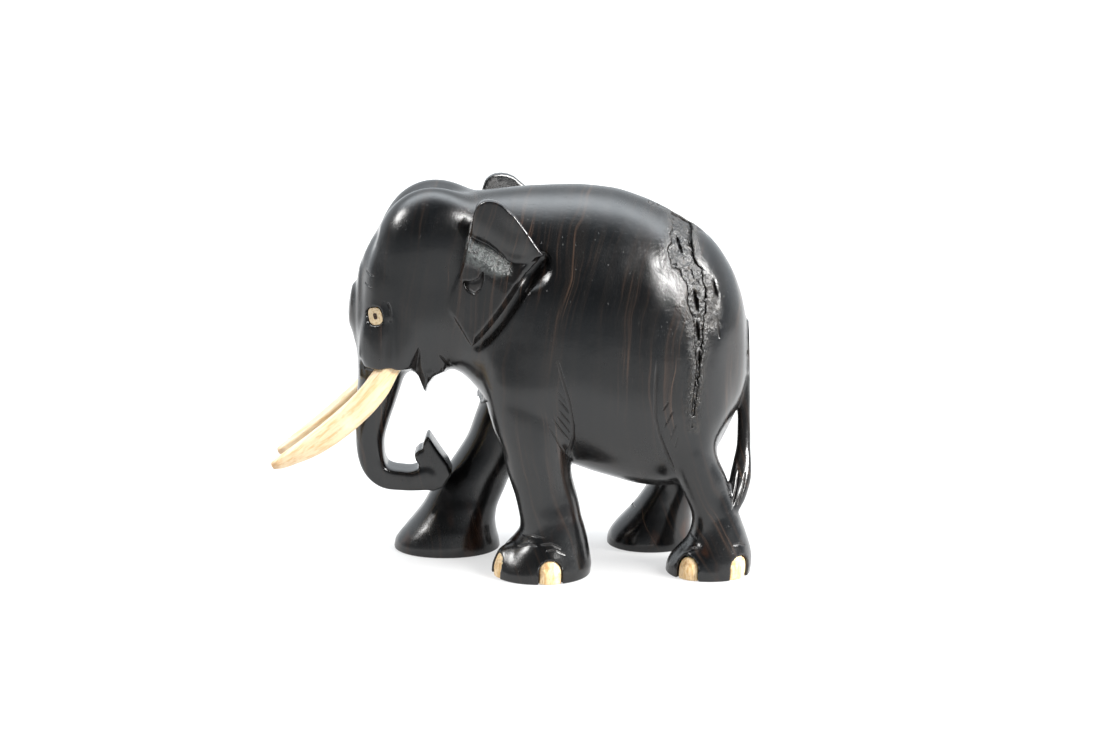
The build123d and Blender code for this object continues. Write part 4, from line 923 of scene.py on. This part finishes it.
def bone(name="bone_tusk", kind="tusk"):
    s = Net(name); p = s.mm(); sep = s.n("ShaderNodeSeparateXYZ"); s.put(sep.inputs[0], p)
    if kind == "tusk":                     # grain runs along the tusk: turn the frame by its slope
        ang = math.radians(41.0); ca, sa = math.cos(ang), math.sin(ang)
        al = s.math("ADD", s.math("MULTIPLY", sep.outputs[1], -ca), s.math("MULTIPLY", sep.outputs[2], -sa))
        ac = s.math("ADD", s.math("MULTIPLY", sep.outputs[1], -sa), s.math("MULTIPLY", sep.outputs[2], ca))
        bow = s.math("MULTIPLY", s.math("MULTIPLY", s.math("SUBTRACT", al, 14.0), s.math("SUBTRACT", al, 14.0)), 0.004)
        ac = s.math("SUBTRACT", ac, bow)
        c = s.n("ShaderNodeCombineXYZ"); s.put(c.inputs[0], s.math("MULTIPLY", al, 0.10)); s.put(c.inputs[1], s.math("MULTIPLY", ac, 0.95)); s.put(c.inputs[2], s.math("MULTIPLY", sep.outputs[0], 0.95))
        v = c.outputs[0]
        st = s.noise(v, 0.9, 4.0, 0.6, 0.35); fl = s.noise(v, 3.2, 3.0, 0.65)
        blot = s.noise(p, 0.11, 3.0, 0.6)
        c1 = s.mix(s.ramp(st, 0.42, 0.70), col(0.84, 0.66, 0.43), col(0.70, 0.44, 0.20))
        c2 = s.mix(s.math("MULTIPLY", s.ramp(fl, 0.56, 0.74), s.ramp(blot, 0.40, 0.62, 0.15, 0.85)), c1, col(0.56, 0.32, 0.13))
        c3 = s.mix(s.ramp(blot, 0.56, 0.72, 0.0, 0.55), c2, col(0.90, 0.78, 0.60))
        tip, hole = s.attr("tip"), s.attr("hole")
        c4 = s.mix(s.math("MULTIPLY", tip, 0.55), c3, col(0.42, 0.22, 0.10)); c5 = s.mix(hole, c4, col(0.10, 0.035, 0.02))
        h = s.math("ADD", s.math("MULTIPLY", fl, 0.05), s.math("MULTIPLY", s.noise(v, 1.2, 3.0, 0.6), 0.06))
        ro = s.ramp(fl, 0.3, 0.7, 0.30, 0.46)
    elif kind == "nail":
        gr = s.noise(s.stretch(p, 1.6, 1.6, 0.28), 1.0, 4.0, 0.62); bl = s.noise(p, 0.33, 3.0, 0.6)
        c1 = s.mix(s.ramp(gr, 0.40, 0.68), col(0.83, 0.64, 0.38), col(0.62, 0.38, 0.15))
        c2 = s.mix(s.math("MULTIPLY", s.ramp(bl, 0.44, 0.66), s.ramp(sep.outputs[2], 1.0, 4.5, 0.25, 0.85)), c1, col(0.38, 0.20, 0.075))
        c5 = s.mix(s.ramp(s.noise(s.stretch(p, 3.5, 3.5, 0.6), 1.0, 2.0), 0.62, 0.75, 0.0, 0.6), c2, col(0.22, 0.10, 0.04))
        h = s.math("ADD", s.math("MULTIPLY", gr, 0.08), s.math("MULTIPLY", s.noise(p, 1.8, 3.0), 0.04)); ro = s.ramp(gr, 0.3, 0.7, 0.32, 0.5)
    else:
        gr = s.noise(p, 2.2, 3.0, 0.6)
        c5 = s.mix(s.ramp(gr, 0.42, 0.70), col(0.50, 0.40, 0.255), col(0.30, 0.20, 0.10)); h = s.math("MULTIPLY", gr, 0.06); ro = s.ramp(gr, 0.3, 0.7, 0.35, 0.5)
    s.surface(Base_Color=c5, Roughness=ro, Normal=s.bump(h, 0.001), IOR=1.5, Subsurface_Weight=0.12, Subsurface_Radius=(0.0015, 0.0009, 0.0004), Coat_Weight=0.12, Coat_Roughness=0.2)
    return s.m


def dark_eye():
    s = Net("pupil_dark"); p = s.mm(); a = s.noise(p, 2.0, 3.0, 0.6)
    s.surface(Base_Color=s.mix(a, col(0.020, 0.008, 0.004), col(0.045, 0.018, 0.008)), Roughness=s.ramp(a, 0.3, 0.7, 0.25, 0.4), Normal=s.bump(s.math("MULTIPLY", a, 0.08), 0.001), IOR=1.5)
    return s.m


# ------------------------------------------------------------------ studio
def studio():
    s = Net("studio", world=True); g = s.n("ShaderNodeTexCoord").outputs["Generated"]; sep = s.n("ShaderNodeSeparateXYZ"); s.put(sep.inputs[0], g)
    X, Y, Z = sep.outputs
    phi = s.math("ARCTAN2", Z, s.math("MULTIPLY", X, -1.0))                 # 0 behind, pi/2 overhead, pi in front
    span = s.ramp(s.math("ABSOLUTE", Y), 0.92, 0.55)
    q = s.math("DIVIDE", s.math("SUBTRACT", phi, math.radians(78)), math.radians(12.5))
    bank = s.math("MULTIPLY", s.math("EXPONENT", s.math("MULTIPLY", s.math("MULTIPLY", q, q), -0.5)), 6.4)   # long soft bank overhead
    wall = s.ramp(X, 0.02, -0.50, 0.0, 1.0)                                  # white sweep behind
    low = s.ramp(Z, 0.42, 0.0, 0.0, 0.42)                                    # dim room low down in front
    v = s.math("ADD", s.math("MAXIMUM", wall, low), s.math("MULTIPLY", bank, span)); v = s.math("ADD", v, 0.10)
    seen = s.n("ShaderNodeLightPath").outputs["Is Camera Ray"]; v = s.math("MAXIMUM", v, seen)      # the sweep itself is plain white
    bg = s.n("ShaderNodeBackground"); s.put(bg.inputs["Color"], s.mix(seen, col(0.90, 0.955, 1.0), col(1, 1, 1))); s.put(bg.inputs["Strength"], v)
    s.t.links.new(bg.outputs[0], s.n("ShaderNodeOutputWorld").inputs["Surface"])


def lamp(name, d, dist, size, power, target=(0, 0, 0.06)):
    l = bpy.data.lights.new(name, "AREA"); l.shape = "RECTANGLE"; l.size, l.size_y = size; l.energy = power; l.color = (1.0, 0.99, 0.975)
    o = bpy.data.objects.new(name, l); bpy.context.scene.collection.objects.link(o)
    v = Vector(d).normalized(); o.location = Vector(target) + v * dist; o.rotation_euler = v.to_track_quat("Z", "Y").to_euler()
    return o


def floor():
    n = 96; R = 7.0; rad = [0.0] + [0.02 * (R / 0.02)**(i / 24) for i in range(25)]; V = [(0, 0, 0)]; F = []
    for r in rad[1:]:
        V += [(r * math.cos(2 * math.pi * j / n), r * math.sin(2 * math.pi * j / n), 0) for j in range(n)]
    F += [(0, 1 + j, 1 + (j + 1) % n) for j in range(n)]
    for i in range(len(rad) - 2):
        a = 1 + i * n; F += [(a + j, a + n + j, a + n + (j + 1) % n, a + (j + 1) % n) for j in range(n)]
    me = bpy.data.meshes.new("studio_floor"); me.from_pydata(V, [], F); me.update(); o = bpy.data.objects.new("studio_floor", me); bpy.context.scene.collection.objects.link(o)
    o.location.z = -0.00005
    s = Net("floor_pale"); p = s.n("ShaderNodeTexCoord").outputs["Object"]; d = s.vmath("LENGTH", p)
    sp = s.n("ShaderNodeSeparateXYZ"); s.put(sp.inputs[0], p); far = s.math("MULTIPLY", s.ramp(sp.outputs[0], 0.22, 0.10), s.ramp(d, 0.0, 0.9, 0.60, 1.0)); far = s.math("MAXIMUM", far, s.math("MULTIPLY", s.n("ShaderNodeLightPath").outputs["Is Camera Ray"], s.ramp(d, 0.0, 0.9, 0.62, 1.0)))
    b = s.n("ShaderNodeBsdfPrincipled"); s.put(b.inputs["Base Color"], s.mix(s.noise(p, 9.0, 2.0), col(0.23, 0.23, 0.23), col(0.236, 0.236, 0.236))); s.put(b.inputs["Roughness"], s.ramp(s.noise(p, 60.0, 2.0), 0.3, 0.7, 0.85, 0.95))
    s.put(b.inputs["Specular IOR Level"], 0.1); s.put(b.inputs["Emission Color"], col(1, 1, 1)); s.put(b.inputs["Emission Strength"], far)
    s.t.links.new(b.outputs[0], s.n("ShaderNodeOutputMaterial").inputs["Surface"]); me.materials.append(s.m)


def camera():
    c = bpy.data.cameras.new("view"); c.sensor_width = 36.0; c.lens = 36.0 * 2414.0 / 1100.0; c.clip_start = 0.01; c.clip_end = 50
    o = bpy.data.objects.new("view", c); bpy.context.scene.collection.objects.link(o)
    a = math.radians(13.0); o.location = (0.7 * math.cos(a), SHIFT / 1000, 0.057 + 0.7 * math.sin(a)); o.rotation_euler = (math.radians(77.0), 0, math.radians(90.0))
    bpy.context.scene.camera = o
    bpy.context.scene.view_settings.view_transform = "Standard"; bpy.context.scene.view_settings.look = "None"


# ------------------------------------------------------------------ everything together
camera(); studio(); floor()
lamp("softbox_left", (0.10, -0.80, 0.58), 1.5, (0.40, 0.36), 13.0)
lamp("softbox_right", (0.30, 0.74, 0.56), 1.5, (1.0, 0.50), 84.0)

wood = ebony(); black = filler(); ivory = bone(); horn = bone("bone_nail", "nail"); eye_bone = bone("bone_eye", "eye"); pupil = dark_eye()
field = wood_field(H); fb = Field(field.lo, [a[-1] for a in field.ax], H); fb.F = carve(field)


def seat(o, slot, *nodes):
    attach(o, "root"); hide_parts(*nodes)


seat(build_body(field, fb.F, wood), "ebony", "body")
seat(build_fill(fb, black), "black_filler", "crack_repair_fill")
for s, tag in ((1, "left"), (-1, "right")):
    seat(build_tusk(s, ivory), "bone", f"tusk_{tag}")
    ring, dot = build_eye(fb, s, (eye_bone, pupil))
    seat(ring, "bone", f"eye_{tag}"); seat(dot, "ebony", f"pupil_{tag}")
for i, (lg, s, ang, tag) in enumerate(NAILS):
    seat(build_nail(fb, lg, s, ang, f"nail_{lg}_{tag}", horn, i), "bone", f"toenail_{lg}_{tag}")
